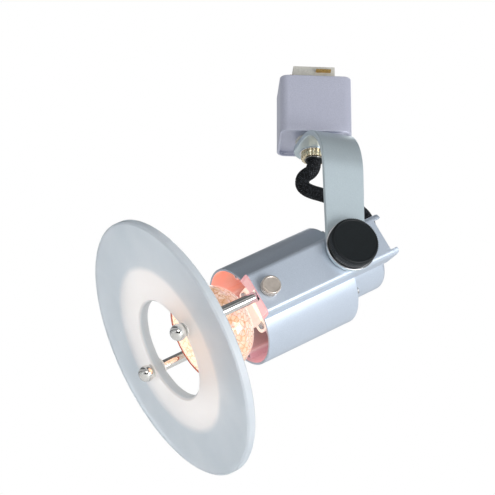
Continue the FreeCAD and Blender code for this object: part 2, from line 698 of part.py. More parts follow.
def lampBarrel():
    body = newBody("barrel")
    length = "barrelFront + barrelRear"
    walls = [("0", "0", "barrelRadius"), ("0", "0", "barrelRadius - barrelWall")]
    padCircles(body, "XY_Plane", "-barrelFront", walls, length)
    ports = [(x, y, "portRadius") for x, y in portCentres()]
    portLength = length + " - portSetback - plateThickness"
    padCircles(body, "XY_Plane", "-barrelFront + portSetback", ports, portLength)
    pilots = [(x, y, "pilotRadius") for x, y in portCentres()]
    cutCircles(body, "XY_Plane", "-barrelFront + portSetback", pilots, portLength)
    near = [(side + "nearScrewSide", "-nearScrewX", "pilotRadius") for side in ("-", "")]
    cutCircles(body, "XZ_Plane", "barrelRadius - 6", near, "6")
    far = [(side + "farScrewSide", "-farScrewX", "pilotRadius") for side in ("-", "")]
    cutCircles(body, "XZ_Plane", "-barrelRadius", far, "6")
    keep(body, "lamp_barrel", opticalFrame())


def rearEndPlate():
    body = newBody("endPlate")
    low = "barrelRear - plateThickness"
    disc = [("0", "0", "barrelRadius - barrelWall - 0.05"), ("0", "0", "plateOpening")]
    padCircles(body, "XY_Plane", low, disc, "plateThickness")
    holes = [(x, y, "screwShank + holeGap") for x, y in portCentres()]
    holes.append(("-grommetRise - axisDrop", "grommetDepth - axisDepth", "3.2"))
    cutCircles(body, "XY_Plane", low, holes, "plateThickness")
    keep(body, "rear_end_plate", opticalFrame())
    screws = []
    for number, (x, y) in enumerate(portCentres()):
        place = shifted(opticalFrame(), x, y, "barrelRear")
        screws.append(screw("plateScrew%d" % number, "2.4", "1.5", "screwShank", "9", place))
    keep(grouped("plateScrews", screws), "end_plate_screws")


def rearCup():
    end = "barrelRear + cupLength"
    inner = "cupRadius - cupWall"
    bend = "cupRound - cupWall"
    cup = revolved("cup", [
        (inner, "barrelRear"), ("cupRadius", "barrelRear"),
        ("cupRadius", end + " - cupRound", "cupRound", "left"),
        ("cupRadius - cupRound", end), ("0", end), ("0", end + " - cupWall"),
        ("cupRadius - cupRound", end + " - cupWall", bend, "right"), (inner, end + " - cupRound")])
    keep(cup, "rear_cup", opticalFrame())


def headGrommet():
    grommet = revolved("grommet", [
        ("bushingBore", "barrelRear - 2.2"), ("3.15", "barrelRear - 2.2"), ("3.15", "barrelRear"),
        ("grommetRadius", "barrelRear"), ("grommetRadius", "barrelRear + grommetHeight"),
        ("bushingBore", "barrelRear + grommetHeight")])
    keep(grommet, "head_grommet", opticalFrame("grommetDepth", "grommetRise"))


# Head: lamp -------------------------------------------------------------------------------------------------

def socketPieces():
    body = newBody("socketBracket")
    back = "barrelRear - plateThickness"
    front = back + " - bracketStock"
    inside = "-socketRear + bracketStock"
    leg = "bracketReach"
    innerLeg = "bracketReach - bracketStock"
    strip = [
        (back, "bracketFoot"), (front, "bracketFoot"), (front, leg), ("-socketRear", leg),
        ("-socketRear", "-" + leg), (front, "-" + leg), (front, "-bracketFoot"), (back, "-bracketFoot"),
        (back, "-(%s)" % innerLeg), (inside, "-(%s)" % innerLeg), (inside, innerLeg), (back, innerLeg)]
    padOutline(body, "XZ_Plane", "-bracketWidth / 2", strip, "bracketWidth")
    holes = [("0", "-socketScrewX", "pilotRadius"), ("0", "socketScrewX", "pilotRadius"), ("0", "0", "3")]
    cutCircles(body, "YZ_Plane", "-socketRear", holes, "bracketStock")
    keep(body, "socket_bracket", shifted(headFrame(), "0", "axisDepth", "-axisDrop"))
    socket = newBody("socket")
    length = "socketFront - socketRear"
    section = roundedRectangle("socketWidth / 2", "socketDepth / 2", "4")
    padOutline(socket, "XY_Plane", "-socketFront", section, length)
    pinHoles = [(side + "pinSpacing / 2", "0", "pinRadius + holeGap") for side in ("-", "")]
    cutCircles(socket, "XY_Plane", "-socketFront", pinHoles, "8")
    screwHoles = [(side + "socketScrewX", "0", "screwShank + holeGap") for side in ("-", "")]
    cutCircles(socket, "XY_Plane", "-socketFront", screwHoles, length)
    keep(socket, "lamp_socket", opticalFrame())
    screws = []
    for number, side in enumerate(("-", "")):
        place = shifted(opticalFrame(), side + "socketScrewX", "0", "-socketFront")
        place = place.multiply(Placement(Vector(), Rotation(Vector(1, 0, 0), 180)))
        screws.append(screw("socketScrew%d" % number, "2.5", "1.3", "screwShank", "14", place))
    keep(grouped("socketScrews", screws), "socket_screws")


def lampPieces():
    # A low-voltage dichroic reflector lamp, two inches across, with a two-pin base.
    frame = opticalFrame()
    rim = "-lampFront + 2.4"
    bowl = revolved("reflector", [
        ("lampRadius - 1.7", "-lampFront"), ("lampRadius", "-lampFront"),
        ("lampRadius", rim), ("bowlSide", rim), ("bowlSide", "-bowlShoulder", "bowlRadius", "left"),
        ("neckRadius", "-lampNeck"), ("neckRadius - lampGlass", "-lampNeck"),
        ("neckRadius - lampGlass", "-lampNeck - 1.2", "bowlRadius - lampGlass", "right"),
        ("bowlSide - lampGlass", "-bowlShoulder"), ("bowlSide - lampGlass", rim + " - 0.6"),
        ("lampRadius - 1.7", rim + " - 0.6")])
    keep(bowl, "lamp_reflector", frame)
    cover = cylinder("cover", "lampRadius - 1.75", "-lampFront + 0.5", "-lampFront + 1.7")
    keep(cover, "lamp_cover", frame)
    tip = "-lampNeck - 15"
    capsule = revolved("capsule", [
        ("0", tip), ("4.5", tip + " + 4.5"), ("4.5", "-lampNeck"), ("3.7", "-lampNeck"),
        ("3.7", tip + " + 4.8"), ("0", tip + " + 1.1")])
    keep(capsule, "lamp_capsule", frame)
    keep(cylinder("filament", "0.9", "-lampNeck - 9", "-lampNeck - 4"), "lamp_filament", frame)
    base = newBody("lampBase")
    padOutline(base, "XY_Plane", "-lampNeck", roundedRectangle("8.8", "5.2", "3"), "lampNeck - lampBaseEnd")
    keep(base, "lamp_base", frame)
    pins = [cylinder("pin%d" % number, "pinRadius", "-lampBaseEnd", "-lampBaseEnd + 7", x)
            for number, x in enumerate(("-pinSpacing / 2", "pinSpacing / 2"))]
    group = grouped("pins", pins)
    keep(group, "lamp_pins", frame)


# Carriage ---------------------------------------------------------------------------------------------------

def carriage():
    frame = opticalFrame()
    back = "-discFront + discThickness"
    shoulder = back + " + rearWasher"
    tip = "-discFront - 6"
    for label, sign in (("near_rod", "-"), ("far_rod", "")):
        rod = revolved(label, [
            ("0", tip), ("rodThread", tip), ("rodThread", shoulder), ("rodRadius", shoulder),
            ("rodRadius", "-rodRear - 0.6"), ("rodRadius - 0.6", "-rodRear"), ("0", "-rodRear")])
        keep(rod, label, shifted(frame, "0", sign + "rodSpread", "0"))
    glass = revolved("glass", [
        ("discHole + discBevel", "-discFront"), ("discRadius - discEase", "-discFront"),
        ("discRadius", "-discFront + discEase"), ("discRadius", back + " - discEase"),
        ("discRadius - discEase", back), ("discHole", back), ("discHole", "-discFront + discBevel")])
    holes = [("0", "-rodSpread", "rodThread + 0.3"), ("0", "rodSpread", "rodThread + 0.3")]
    cutCircles(glass, "XY_Plane", "-discFront", holes, "discThickness")
    keep(glass, "glass_disc", frame)
    pairs = (("rear_soft_washers", "5", back, shoulder),
             ("front_soft_washers", "4", "-discFront - frontWasher", "-discFront"))
    for label, outer, low, high in pairs:
        washers = newBody(label)
        circles = [("0", sign + "rodSpread", radius) for sign in ("-", "") for radius in (outer, "rodThread")]
        padCircles(washers, "XY_Plane", low, circles, "(%s) - (%s)" % (high, low))
        keep(washers, label, frame)


def ballNuts():
    # Each ball is flat where it meets its washer and has a blind threaded hole.
    balls = []
    flat = "ballCentre - frontWasher"
    for number, sign in enumerate(("-", "")):
        ball = doc.addObject("Part::Sphere", "ball%d" % number)
        tie(ball, "Radius", "ballRadius")
        hole = cylinder("ballHole%d" % number, "rodThread", "-1.8", "ballRadius + 1")
        beyond = cylinder("ballFlat%d" % number, "ballRadius + 1", flat, "ballRadius + 1")
        nut = doc.addObject("Part::Cut", "ballNut%d" % number)
        nut.Base = ball
        nut.Tool = fused("ballCut%d" % number, [hole, beyond])
        nut.Placement = shifted(opticalFrame(), "0", sign + "rodSpread", "-discFront - ballCentre")
        balls.append(nut)
    keep(grouped("ballNuts", balls), "ball_nuts")


def thumbScrew():
    screwBody = revolved("thumb", [
        ("0", "-spineWall - 0.25"), ("2", "-spineWall - 0.25"), ("2", "0.1"), ("thumbRadius - 0.3", "0.1"),
        ("thumbRadius", "0.4"), ("thumbRadius", "thumbHeight - 0.5"), ("thumbRadius - 0.4", "thumbHeight"),
        ("0", "thumbHeight")])
    keep(screwBody, "thumbscrew", outward(shifted(headFrame(), "-thumbX", "webFace", "-axisDrop")))


# Cord -------------------------------------------------------------------------------------------------------

def cordRoute():
    # From the bushing, round behind the arm and into the head's grommet. Bracket points, then head points.
    bracketPoints = [(0, 0, -48.8), (0, 0, -55.5), (-4.5, 2.5, -61), (-2.5, 2.5, -69), (9.5, -4, -74),
                     (19, -14, -82)]
    headPoints = [(33, 26, 18), (27.5, 20, 7), (15, 18.3, 5), (3, 18.3, 5)]
    route = [swivelFrame().multVec(Vector(*point)) for point in bracketPoints]
    return route + [headFrame().multVec(Vector(*point)) for point in headPoints]


def supplyCord():
    # Straight runs joined by tangent arcs, each as large as its two runs allow.
    route = cordRoute()
    edges = []
    last = route[0]
    length = 0
    for before, corner, after in zip(route, route[1:], route[2:]):
        back = (before - corner).normalize()
        onward = (after - corner).normalize()
        shorter = min((before - corner).Length, (after - corner).Length)
        halfTurn = (math.pi - back.getAngle(onward)) / 2
        reach = 0.45 * shorter
        radius = reach / math.tan(halfTurn)
        start = corner + back * reach
        end = corner + onward * reach
        towards = (back + onward).normalize()
        centre = corner + towards * (radius / math.cos(halfTurn))
        edges.append(Part.LineSegment(last, start).toShape())
        edges.append(Part.Arc(start, centre - towards * radius, end).toShape())
        length += edges[-2].Length + edges[-1].Length
        print("cord corner: turn %.0f, radius %.1f" % (math.degrees(2 * halfTurn), radius))
        last = end
    edges.append(Part.LineSegment(last, route[-1]).toShape())
    length += edges[-1].Length
    section = Part.Wire(Part.Circle(route[0], route[1] - route[0], val("cordRadius")).toShape())
    tube = Part.Wire(edges).makePipeShell([section], True, False)
    print("cord length %.1f, volume over section times length %.4f"
          % (length, tube.Volume / (math.pi * val("cordRadius") ** 2 * length)))
    cord = doc.addObject("Part::Feature", "cord")
    cord.Shape = tube
    keep(cord, "supply_cord")


def build():
    fillSheet()
    adapterHousing()
    contactBase()
    contactBlades()
    housingScrews()
    trackLatch()
    latchSpring()
    swivelWashers()
    stemNipple()
    spacerCollar()
    strapBracket()
    lockNut()
    cordBushing()
    knobPieces()
    spineChannel()
    tiltFriction()
    nearRodGuide()
    farRodGuide()
    guideScrews()
    lampBarrel()
    rearEndPlate()
    rearCup()
    headGrommet()
    socketPieces()
    lampPieces()
    carriage()
    ballNuts()
    thumbScrew()
    supplyCord()
    doc.recompute()


def check():
    faults = [item.Name for item in doc.Objects if "Invalid" in item.State or "Error" in item.State]
    for item in pieces:
        if item.Shape.isNull() or not item.Shape.isValid() or not item.Shape.Solids:
            faults.append(item.Label)
        print("%-22s solids %d  volume %9.1f" % (item.Label, len(item.Shape.Solids), item.Shape.Volume))
    if faults:
        raise RuntimeError("failed: " + ", ".join(faults))


def export():
    os.makedirs("parts", exist_ok=True)
    for item in pieces:
        item.Shape.exportStep("parts/%s.step" % item.Label)
    print("%d pieces written" % len(pieces))


build()
check()
export()
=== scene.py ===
import bmesh
import bpy
import json
import math
import numpy as np
from mathutils import Matrix, Vector

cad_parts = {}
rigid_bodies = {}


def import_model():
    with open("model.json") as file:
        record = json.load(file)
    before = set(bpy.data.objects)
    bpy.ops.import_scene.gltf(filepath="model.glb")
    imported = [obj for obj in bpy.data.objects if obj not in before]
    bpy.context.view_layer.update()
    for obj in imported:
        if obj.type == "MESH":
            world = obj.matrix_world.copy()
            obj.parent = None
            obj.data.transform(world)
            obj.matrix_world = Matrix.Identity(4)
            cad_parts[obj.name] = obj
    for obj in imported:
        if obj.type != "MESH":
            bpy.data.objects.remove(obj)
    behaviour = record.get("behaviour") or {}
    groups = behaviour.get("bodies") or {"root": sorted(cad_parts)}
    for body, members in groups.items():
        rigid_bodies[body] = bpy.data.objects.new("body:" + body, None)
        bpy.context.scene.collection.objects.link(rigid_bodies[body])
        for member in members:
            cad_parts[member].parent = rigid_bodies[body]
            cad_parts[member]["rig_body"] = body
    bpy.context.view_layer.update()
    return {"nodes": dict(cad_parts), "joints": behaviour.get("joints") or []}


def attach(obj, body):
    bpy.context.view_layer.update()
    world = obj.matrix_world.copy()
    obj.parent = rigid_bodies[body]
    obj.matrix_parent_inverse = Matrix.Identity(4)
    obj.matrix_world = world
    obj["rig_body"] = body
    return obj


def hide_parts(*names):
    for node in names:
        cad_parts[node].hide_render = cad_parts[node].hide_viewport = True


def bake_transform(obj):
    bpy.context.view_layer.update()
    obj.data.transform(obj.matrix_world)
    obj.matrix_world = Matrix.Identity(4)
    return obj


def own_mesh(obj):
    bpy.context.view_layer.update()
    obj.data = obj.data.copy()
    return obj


# Track spotlight. Sizes in the dictionaries are millimetres and degrees; meshes are in metres.
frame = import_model()
mm = 0.001
print("frame:", len(frame["nodes"]), "parts")


# Places, taken from the frame's joints and parts.

def unit(vector):
    return np.asarray(vector, float) / np.linalg.norm(vector)


def toWorld(local, points):
    return local[0] + (np.asarray(points, float) * mm) @ local[1]


def nodePoints(name, local):  # a part's vertices in a local frame, in millimetres
    mesh = frame["nodes"][name].data
    points = np.empty(len(mesh.vertices) * 3)
    mesh.vertices.foreach_get("co", points)
    return (points.reshape(-1, 3) - local[0]) @ local[1].T / mm


def extent(name, local):
    points = nodePoints(name, local)
    return points.min(0), points.max(0)


def radial(points):  # distance from the local frame's third axis
    return np.hypot(points[..., 0], points[..., 1])


def moved(local, x, y, z):
    return toWorld(local, (x, y, z)), local[1]


joints = {joint["name"]: joint for joint in frame["joints"]}
rear = unit(-np.array(joints["diffuser_slide"]["axis"]))  # along the lamp axis, away from the disc
depth = unit(-np.array(joints["tilt"]["axis"]))  # from the arm into the head
rise = np.cross(rear, depth)
track = (np.zeros(3), np.eye(3))
swivel = (np.zeros(3), np.array([np.cross(depth, (0, 0, 1)), depth, (0, 0, 1)]))
head = (np.array(joints["tilt"]["pos_m"]), np.array([rear, depth, rise]))
outward = (head[0], np.array([rear, rise, -depth]))  # its third axis leaves the arm towards the knob
barrelLow, barrelHigh = extent("lamp_barrel", head)
middle = (barrelLow + barrelHigh) / 2
lampAxis = (toWorld(head, (0, middle[1], middle[2])), np.array([-rise, depth, rear]))
thumbPoint = (np.array(joints["thumbscrew_turn"]["pos_m"]), outward[1])


# Meshes, as grids of points.

def polar(radius, angle, height):
    return np.stack(np.broadcast_arrays(radius * np.cos(angle), radius * np.sin(angle), height), -1)


def lathe(profile, turns=160, wave=None):
    # Each profile point (height, radius, share) becomes a ring; share times wave(angle) comes off its radius.
    profile = np.array([(list(point) + [0])[:3] for point in profile], float)
    angle = np.linspace(0, 2 * math.pi, turns, endpoint=False)
    radius = profile[:, 1:2] + 0 * angle
    if wave is not None:
        radius = radius - profile[:, 2:3] * wave(angle)
    return polar(radius, angle, profile[:, 0:1])


def ridged(count, deep, power=1):
    return lambda angle: deep * (0.5 + 0.5 * np.cos(count * angle)) ** power


def rounded(corners, steps=5):
    # Corners (x, y, radius): each becomes an arc that touches both of its sides.
    points = []
    for number, (x, y, radius) in enumerate(corners):
        here = np.array([x, y], float)
        if radius == 0:
            points.append(here[None])
            continue
        back = unit(np.array(corners[number - 1][:2]) - here)
        onward = unit(np.array(corners[(number + 1) % len(corners)][:2]) - here)
        half = math.acos(np.clip(back @ onward, -1, 1)) / 2
        centre = here + unit(back + onward) * radius / math.sin(half)
        start = here + back * radius / math.tan(half) - centre
        end = here + onward * radius / math.tan(half) - centre
        first = math.atan2(start[1], start[0])
        sweep = (math.atan2(end[1], end[0]) - first + math.pi) % (2 * math.pi) - math.pi
        angle = first + sweep * np.linspace(0, 1, steps + 1)
        points.append(centre + radius * np.stack([np.cos(angle), np.sin(angle)], -1))
    return np.concatenate(points)


def plug(radius, low, high, turns, x=0, y=0):  # a closed cylinder to cut with
    profile = [(low, 0), (low, radius), (high, radius), (high, 0)]
    return lathe(profile, turns) + (x, y, 0), False, True


def wireCoil(low, high, radius, turns, coil):
    # Wire carried along a helix; near both ends, over 1/taper of its length, it thins to a point.
    wire = coil["wire"]
    along = np.linspace(0, 1, int(turns * coil["perTurn"]))[:, None]
    section = np.linspace(0, 2 * math.pi, coil["sides"], endpoint=False)[None]
    ends = np.clip(along * coil["taper"], 0, 1) * np.clip((1 - along) * coil["taper"], 0, 1)
    thin = wire * np.sin(ends * math.pi / 2)
    height = low + wire + along * (high - low - 2 * wire) + thin * np.sin(section)
    return polar(radius + thin * np.cos(section), along * turns * 2 * math.pi, height), False, True


def gridFaces(rows, columns, wrapRows, wrapColumns):
    # Quads between neighbouring points of a grid, which closes on itself where it wraps.
    row = np.arange(rows if wrapRows else rows - 1)[:, None]
    column = np.arange(columns if wrapColumns else columns - 1)[None]
    nextRow = (row + 1) % rows * columns
    nextColumn = (column + 1) % columns
    row = row * columns
    corners = [row + column, nextRow + column, nextRow + nextColumn, row + nextColumn]
    return np.stack(np.broadcast_arrays(*corners), -1).reshape(-1, 4)


def buildMesh(name, local, sheets, values=None):
    # Each sheet is a grid of points and whether it closes over its rows and over its columns; values are
    # point attributes.
    points = []
    faces = []
    count = 0
    for grid, wrapRows, wrapColumns in sheets:
        points.append(toWorld(local, grid.reshape(-1, 3)))
        faces.append(gridFaces(grid.shape[0], grid.shape[1], wrapRows, wrapColumns) + count)
        count += len(points[-1])
    mesh = bpy.data.meshes.new(name)
    mesh.from_pydata(np.concatenate(points).tolist(), [], np.concatenate(faces).tolist())
    for label, numbers in (values or {}).items():
        attribute = mesh.attributes.new(label, "FLOAT", "POINT")
        attribute.data.foreach_set("value", np.asarray(numbers, np.float32).ravel())
    closed = bmesh.new()
    closed.from_mesh(mesh)
    bmesh.ops.remove_doubles(closed, verts=closed.verts, dist=0.001 * mm)
    bmesh.ops.recalc_face_normals(closed, faces=closed.faces)
    closed.to_mesh(mesh)
    closed.free()
    return mesh


def facePlaces(mesh, local):  # the middles of the faces in a local frame, in millimetres
    places = np.empty(len(mesh.polygons) * 3)
    mesh.polygons.foreach_get("center", places)
    return (places.reshape(-1, 3) - local[0]) @ local[1].T / mm


def faceValues(mesh, label, values):
    attribute = mesh.attributes.new(label, "FLOAT", "FACE")
    attribute.data.foreach_set("value", values.astype(np.float32))


def soften(mesh, sharp):
    mesh.polygons.foreach_set("use_smooth", np.ones(len(mesh.polygons), bool))
    mesh.set_sharp_from_angle(angle=math.radians(sharp))


def placed(name, data):
    made = bpy.data.objects.new(name, data)
    bpy.context.scene.collection.objects.link(made)
    return made


def settle(made, body, slotName, replaced):
    # The piece's finish, the body that it rides on and the parts that it stands for.
    made.data.materials.clear()
    made.data.materials.append(finishes[slotName])
    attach(made, body)
    if replaced:
        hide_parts(*replaced)
    return made


def piece(name, local, sheets, body, slotName, replaced=(), sharp=32, values=None):
    mesh = buildMesh(name, local, sheets, values)
    soften(mesh, sharp)
    return settle(placed(name, mesh), body, slotName, replaced)


def carve(made, local, sheets, sharp=32):  # cuts closed shapes out of a piece
    cutter = placed("cutter", buildMesh("cutter", local, sheets))
    cut = made.modifiers.new("cut", "BOOLEAN")
    cut.operation = "DIFFERENCE"
    cut.solver = "EXACT"
    cut.object = cutter
    depsgraph = bpy.context.evaluated_depsgraph_get()
    result = bpy.data.meshes.new_from_object(made.evaluated_get(depsgraph))
    made.modifiers.clear()
    made.data = result
    bpy.data.objects.remove(cutter)
    soften(made.data, sharp)


easing = {"merge": 0.005, "flat": 0.6, "sharp": 28, "segments": 2}


def eased(name, slotName, width=0.25):
    # A part with its doubles merged and its edges rounded, which stands for the part.
    source = frame["nodes"][name]
    mesh = source.data.copy()
    merged = bmesh.new()
    merged.from_mesh(mesh)
    bmesh.ops.remove_doubles(merged, verts=merged.verts, dist=easing["merge"] * mm)
    bmesh.ops.dissolve_limit(merged, angle_limit=math.radians(easing["flat"]), verts=merged.verts,
                             edges=merged.edges)
    merged.to_mesh(mesh)
    merged.free()
    soften(mesh, easing["sharp"])
    made = placed(name + "_finished", mesh)
    bevel = made.modifiers.new("edges", "BEVEL")
    bevel.width = width * mm
    bevel.segments = easing["segments"]
    bevel.limit_method = "ANGLE"
    bevel.angle_limit = math.radians(easing["sharp"])
    bevel.harden_normals = True
    return settle(made, source["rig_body"], slotName, (name,))


# Finishes.

def tone(red, green, blue):  # screen values to the renderer's linear ones
    value = np.array([red, green, blue]) / 255
    linear = np.where(value <= 0.04045, value / 12.92, ((value + 0.055) / 1.055) ** 2.4)
    return tuple(linear) + (1.0,)


def shaderNode(tree, kind, inputs=None, **settings):
    made = tree.nodes.new("ShaderNode" + kind)
    for key, value in settings.items():
        setattr(made, key, value)
    for key, value in (inputs or {}).items():
        if isinstance(value, bpy.types.NodeSocket):
            tree.links.new(value, made.inputs[key])
        else:
            made.inputs[key].default_value = value
    return made


def noise(tree, scale, detail=3, stretch=(1, 1, 1), turn=(0, 0, 0)):
    where = shaderNode(tree, "TexCoord").outputs["Object"]
    place = shaderNode(tree, "Mapping", {"Vector": where, "Scale": stretch, "Rotation": turn})
    made = shaderNode(tree, "TexNoise", {"Vector": place.outputs["Vector"], "Scale": scale, "Detail": detail})
    return made.outputs["Fac"]


def ranged(tree, value, low, high, start=0.3, end=0.7):
    inputs = {"Value": value, "From Min": start, "From Max": end, "To Min": low, "To Max": high}
    return shaderNode(tree, "MapRange", inputs).outputs["Result"]


def blended(tree, factor, first, second, kind="MIX"):
    made = shaderNode(tree, "Mix", data_type="RGBA", blend_type=kind)
    for place, value in ((0, factor), (6, first), (7, second)):
        if isinstance(value, bpy.types.NodeSocket):
            tree.links.new(value, made.inputs[place])
        else:
            made.inputs[place].default_value = value
    return made.outputs[2]


def attribute(tree, label):
    return shaderNode(tree, "Attribute", attribute_name=label).outputs["Fac"]


def ramped(tree, factor, stops):  # stops are (position, colour)
    ramp = shaderNode(tree, "ValToRGB", {"Fac": factor})
    while len(ramp.color_ramp.elements) < len(stops):
        ramp.color_ramp.elements.new(0.5)
    for element, (position, colour) in zip(ramp.color_ramp.elements, stops):
        element.position = position
        element.color = colour
    return ramp.outputs["Color"]


def newFinish(name, **sockets):
    made = bpy.data.materials.new(name)
    made.use_nodes = True
    shader = made.node_tree.nodes["Principled BSDF"]
    for key, value in sockets.items():
        shader.inputs[key.replace("_", " ")].default_value = value
    return made, made.node_tree, shader


def relief(tree, shader, height, distance, strength=1.0):
    inputs = {"Height": height, "Distance": distance * mm, "Strength": strength}
    tree.links.new(shaderNode(tree, "Bump", inputs).outputs["Normal"], shader.inputs["Normal"])


def grained(name, dark, light, rough, grain=1500, cloud=70, stretch=(1, 1, 1), bump=0.02, **sockets):
    # Fine grain and slow clouds shift the colour between two tones and the roughness between two values.
    made, tree, shader = newFinish(name, **sockets)
    fine = noise(tree, grain, 2, stretch)
    slow = noise(tree, cloud, 2)
    mixed = blended(tree, ranged(tree, fine, 0, 1), dark, light)
    clouded = blended(tree, ranged(tree, slow, 0, 0.25), mixed, dark)
    tree.links.new(clouded, shader.inputs["Base Color"])
    tree.links.new(ranged(tree, fine, rough[0], rough[1]), shader.inputs["Roughness"])
    relief(tree, shader, fine, bump)
    return made


finishes = {
    "adapter_paint": grained("adapterPaint", tone(192, 195, 212), tone(212, 214, 230), (0.34, 0.46), 2300,
                             bump=0.006, Metallic=0.5),
    "bracket_paint": grained("bracketPaint", tone(196, 210, 216), tone(212, 225, 230), (0.28, 0.38), 2600,
                             bump=0.004, Metallic=0.5),
    "head_paint": grained("headPaint", tone(182, 192, 205), tone(198, 208, 220), (0.28, 0.38), 2600,
                          bump=0.004, Metallic=0.45),
    "contact_plastic": grained("contactPlastic", tone(205, 203, 194), tone(222, 220, 212), (0.5, 0.62), 900),
    "contact_brass": grained("contactBrass", tone(196, 158, 90), tone(222, 188, 120), (0.2, 0.35), 1200,
                             stretch=(1, 8, 8), bump=0.01, Metallic=1.0),
    "small_steel": grained("smallSteel", tone(168, 170, 172), tone(205, 206, 208), (0.22, 0.38), 1600,
                           bump=0.01, Metallic=1.0),
    "latch_metal": grained("latchMetal", tone(140, 142, 146), tone(185, 187, 190), (0.28, 0.42), 1300,
                           bump=0.01, Metallic=0.9),
    "spring_steel": grained("springSteel", tone(150, 150, 152), tone(196, 196, 198), (0.18, 0.3), 2200,
                            bump=0.006, Metallic=1.0),
    "nylon": grained("nylon", tone(226, 224, 214), tone(240, 238, 230), (0.4, 0.52), 800),
    "nipple_steel": grained("nippleSteel", tone(160, 160, 158), tone(198, 198, 194), (0.22, 0.36), 1500,
                            bump=0.01, Metallic=1.0),
    "nut_brass": grained("nutBrass", tone(214, 198, 164), tone(240, 228, 200), (0.14, 0.22), 1500,
                         bump=0.003, Metallic=0.9),
    "washer_chrome": grained("washerChrome", tone(205, 206, 208), tone(232, 233, 235), (0.08, 0.18), 1800,
                             bump=0.004, Metallic=1.0),
    "black_plastic": grained("blackPlastic", tone(10, 15, 17), tone(20, 26, 29), (0.36, 0.48), 1800,
                             bump=0.008, Specular_IOR_Level=0.3),
    "fibre": grained("fibre", tone(96, 78, 62), tone(128, 108, 88), (0.7, 0.85), 700, stretch=(1, 1, 5)),
    "guide_metal": grained("guideMetal", tone(140, 146, 154), tone(180, 186, 194), (0.3, 0.45), 1400,
                           stretch=(1, 5, 5), bump=0.012, Metallic=0.8),
    "polished_chrome": grained("polishedChrome", tone(222, 220, 216), tone(240, 239, 236), (0.035, 0.075),
                               900, bump=0.0015, Metallic=1.0),
    "knurled_nickel": grained("knurledNickel", tone(212, 200, 188), tone(226, 215, 204), (0.3, 0.38), 400,
                              bump=0.001, Metallic=0.85),
    "soft_washer": grained("softWasher", tone(226, 226, 222), tone(240, 240, 236), (0.45, 0.6), 900),
    # The ceramic's warm emission is a painted glow from the lamp on the socket and the lamp's base.
    "ceramic": grained("ceramic", tone(228, 222, 210), tone(243, 239, 230), (0.55, 0.7), 900, bump=0.03,
                        Emission_Color=tone(255, 232, 216), Emission_Strength=0.55),
}


def braidFinish():
    # Dark strands with paler flecks on their crests, a painted highlight where the strand tops catch light,
    # on the sleeve's own coordinates.
    made, tree, shader = newFinish("cordBraid", Specular_IOR_Level=0.2)
    crest = attribute(tree, "crest")
    fleck = noise(tree, 1500, 2)
    factors = {0: ranged(tree, crest, 0, 1, 0.55, 1.0), 1: ranged(tree, fleck, 0, 1, 0.45, 0.65)}
    # Painted highlight: the paler flecks only show on the strand crests.
    lit = shaderNode(tree, "Math", factors, operation="MULTIPLY").outputs[0]
    tree.links.new(blended(tree, lit, tone(6, 7, 9), tone(92, 96, 102)), shader.inputs["Base Color"])
    tree.links.new(ranged(tree, fleck, 0.5, 0.75), shader.inputs["Roughness"])
    relief(tree, shader, fleck, 0.03)
    return made


def glowFinish():
    # Pressed glass facets, each with its own tint and seen through to the light inside. The neck is nearly
    # white, the side peach, and thin gold lines run along the facets' edges.
    made, tree, shader = newFinish("dichroicGlass", Coat_Weight=0.5, Coat_Roughness=0.06)
    along = attribute(tree, "along")
    stops = ((0.0, tone(232, 182, 146)), (0.3, tone(246, 208, 180)), (0.6, tone(252, 224, 206)),
             (0.85, tone(244, 200, 192)), (1.0, tone(253, 240, 228)))
    where = shaderNode(tree, "TexCoord").outputs["Object"]
    cells = shaderNode(tree, "TexVoronoi", {"Vector": where, "Scale": 330.0, "Randomness": 0.85},
                       feature="DISTANCE_TO_EDGE").outputs["Distance"]
    tinted = ramped(tree, attribute(tree, "facet"), stops)
    pale = blended(tree, ranged(tree, along, 0, 0.85, 0.55, 0.9), tinted, tone(255, 250, 244))
    clear = blended(tree, ranged(tree, along, 0.8, 0, 0.12, 0.34), pale, tone(255, 252, 248))
    lined = blended(tree, ranged(tree, cells, 0.9, 0, 0.0, 0.08), clear, tone(206, 146, 96))
    glow = blended(tree, ranged(tree, along, 1, 0, 0.01, 0.02), lined, tone(196, 84, 44))
    tree.links.new(glow, shader.inputs["Emission Color"])
    tree.links.new(blended(tree, 0.8, glow, tone(176, 160, 146), "MULTIPLY"), shader.inputs["Base Color"])
    ripple = noise(tree, 260, 2)
    tree.links.new(ranged(tree, ripple, 0.08, 0.2), shader.inputs["Roughness"])
    tree.links.new(ranged(tree, along, 0.5, 0.7, 0.3, 1), shader.inputs["Emission Strength"])
    relief(tree, shader, ripple, 0.05)
    return made


def frostFinish():
    # Etched glass: a paler, clearer, faintly glowing field inside, which is painted lamp light falling on the
    # back of the glass; a grey-blue ring outside; painted shade on the wall of the hole; and fine sparkle in
    # the etch.
    made, tree, shader = newFinish("frostedGlass", IOR=1.5)
    radius = attribute(tree, "radius")
    etch = noise(tree, 2600, 2)
    cloud = noise(tree, 45, 2)
    # Painted lamp light: inside 47 to 51 mm the glass is paler, clearer and faintly glowing.
    beyondSpill = ranged(tree, radius, 0, 1, 47, 51)
    inner = blended(tree, ranged(tree, cloud, 0, 1), tone(250, 250, 250), tone(255, 255, 254))
    outer = blended(tree, ranged(tree, cloud, 0, 1), tone(224, 232, 238), tone(234, 240, 245))
    # Painted shade: the wall of the hole turns grey-blue.
    bore = attribute(tree, "bore")
    etched = blended(tree, beyondSpill, inner, outer)
    tree.links.new(blended(tree, bore, etched, tone(172, 188, 196)), shader.inputs["Base Color"])
    tree.links.new(ranged(tree, beyondSpill, 0.78, 0.6, 0, 1), shader.inputs["Transmission Weight"])
    tree.links.new(ranged(tree, etch, 0.42, 0.56), shader.inputs["Roughness"])
    shader.inputs["Emission Color"].default_value = tone(255, 216, 196)
    tree.links.new(ranged(tree, beyondSpill, 0.05, 0.0, 0, 1), shader.inputs["Emission Strength"])
    relief(tree, shader, etch, 0.006)
    return made


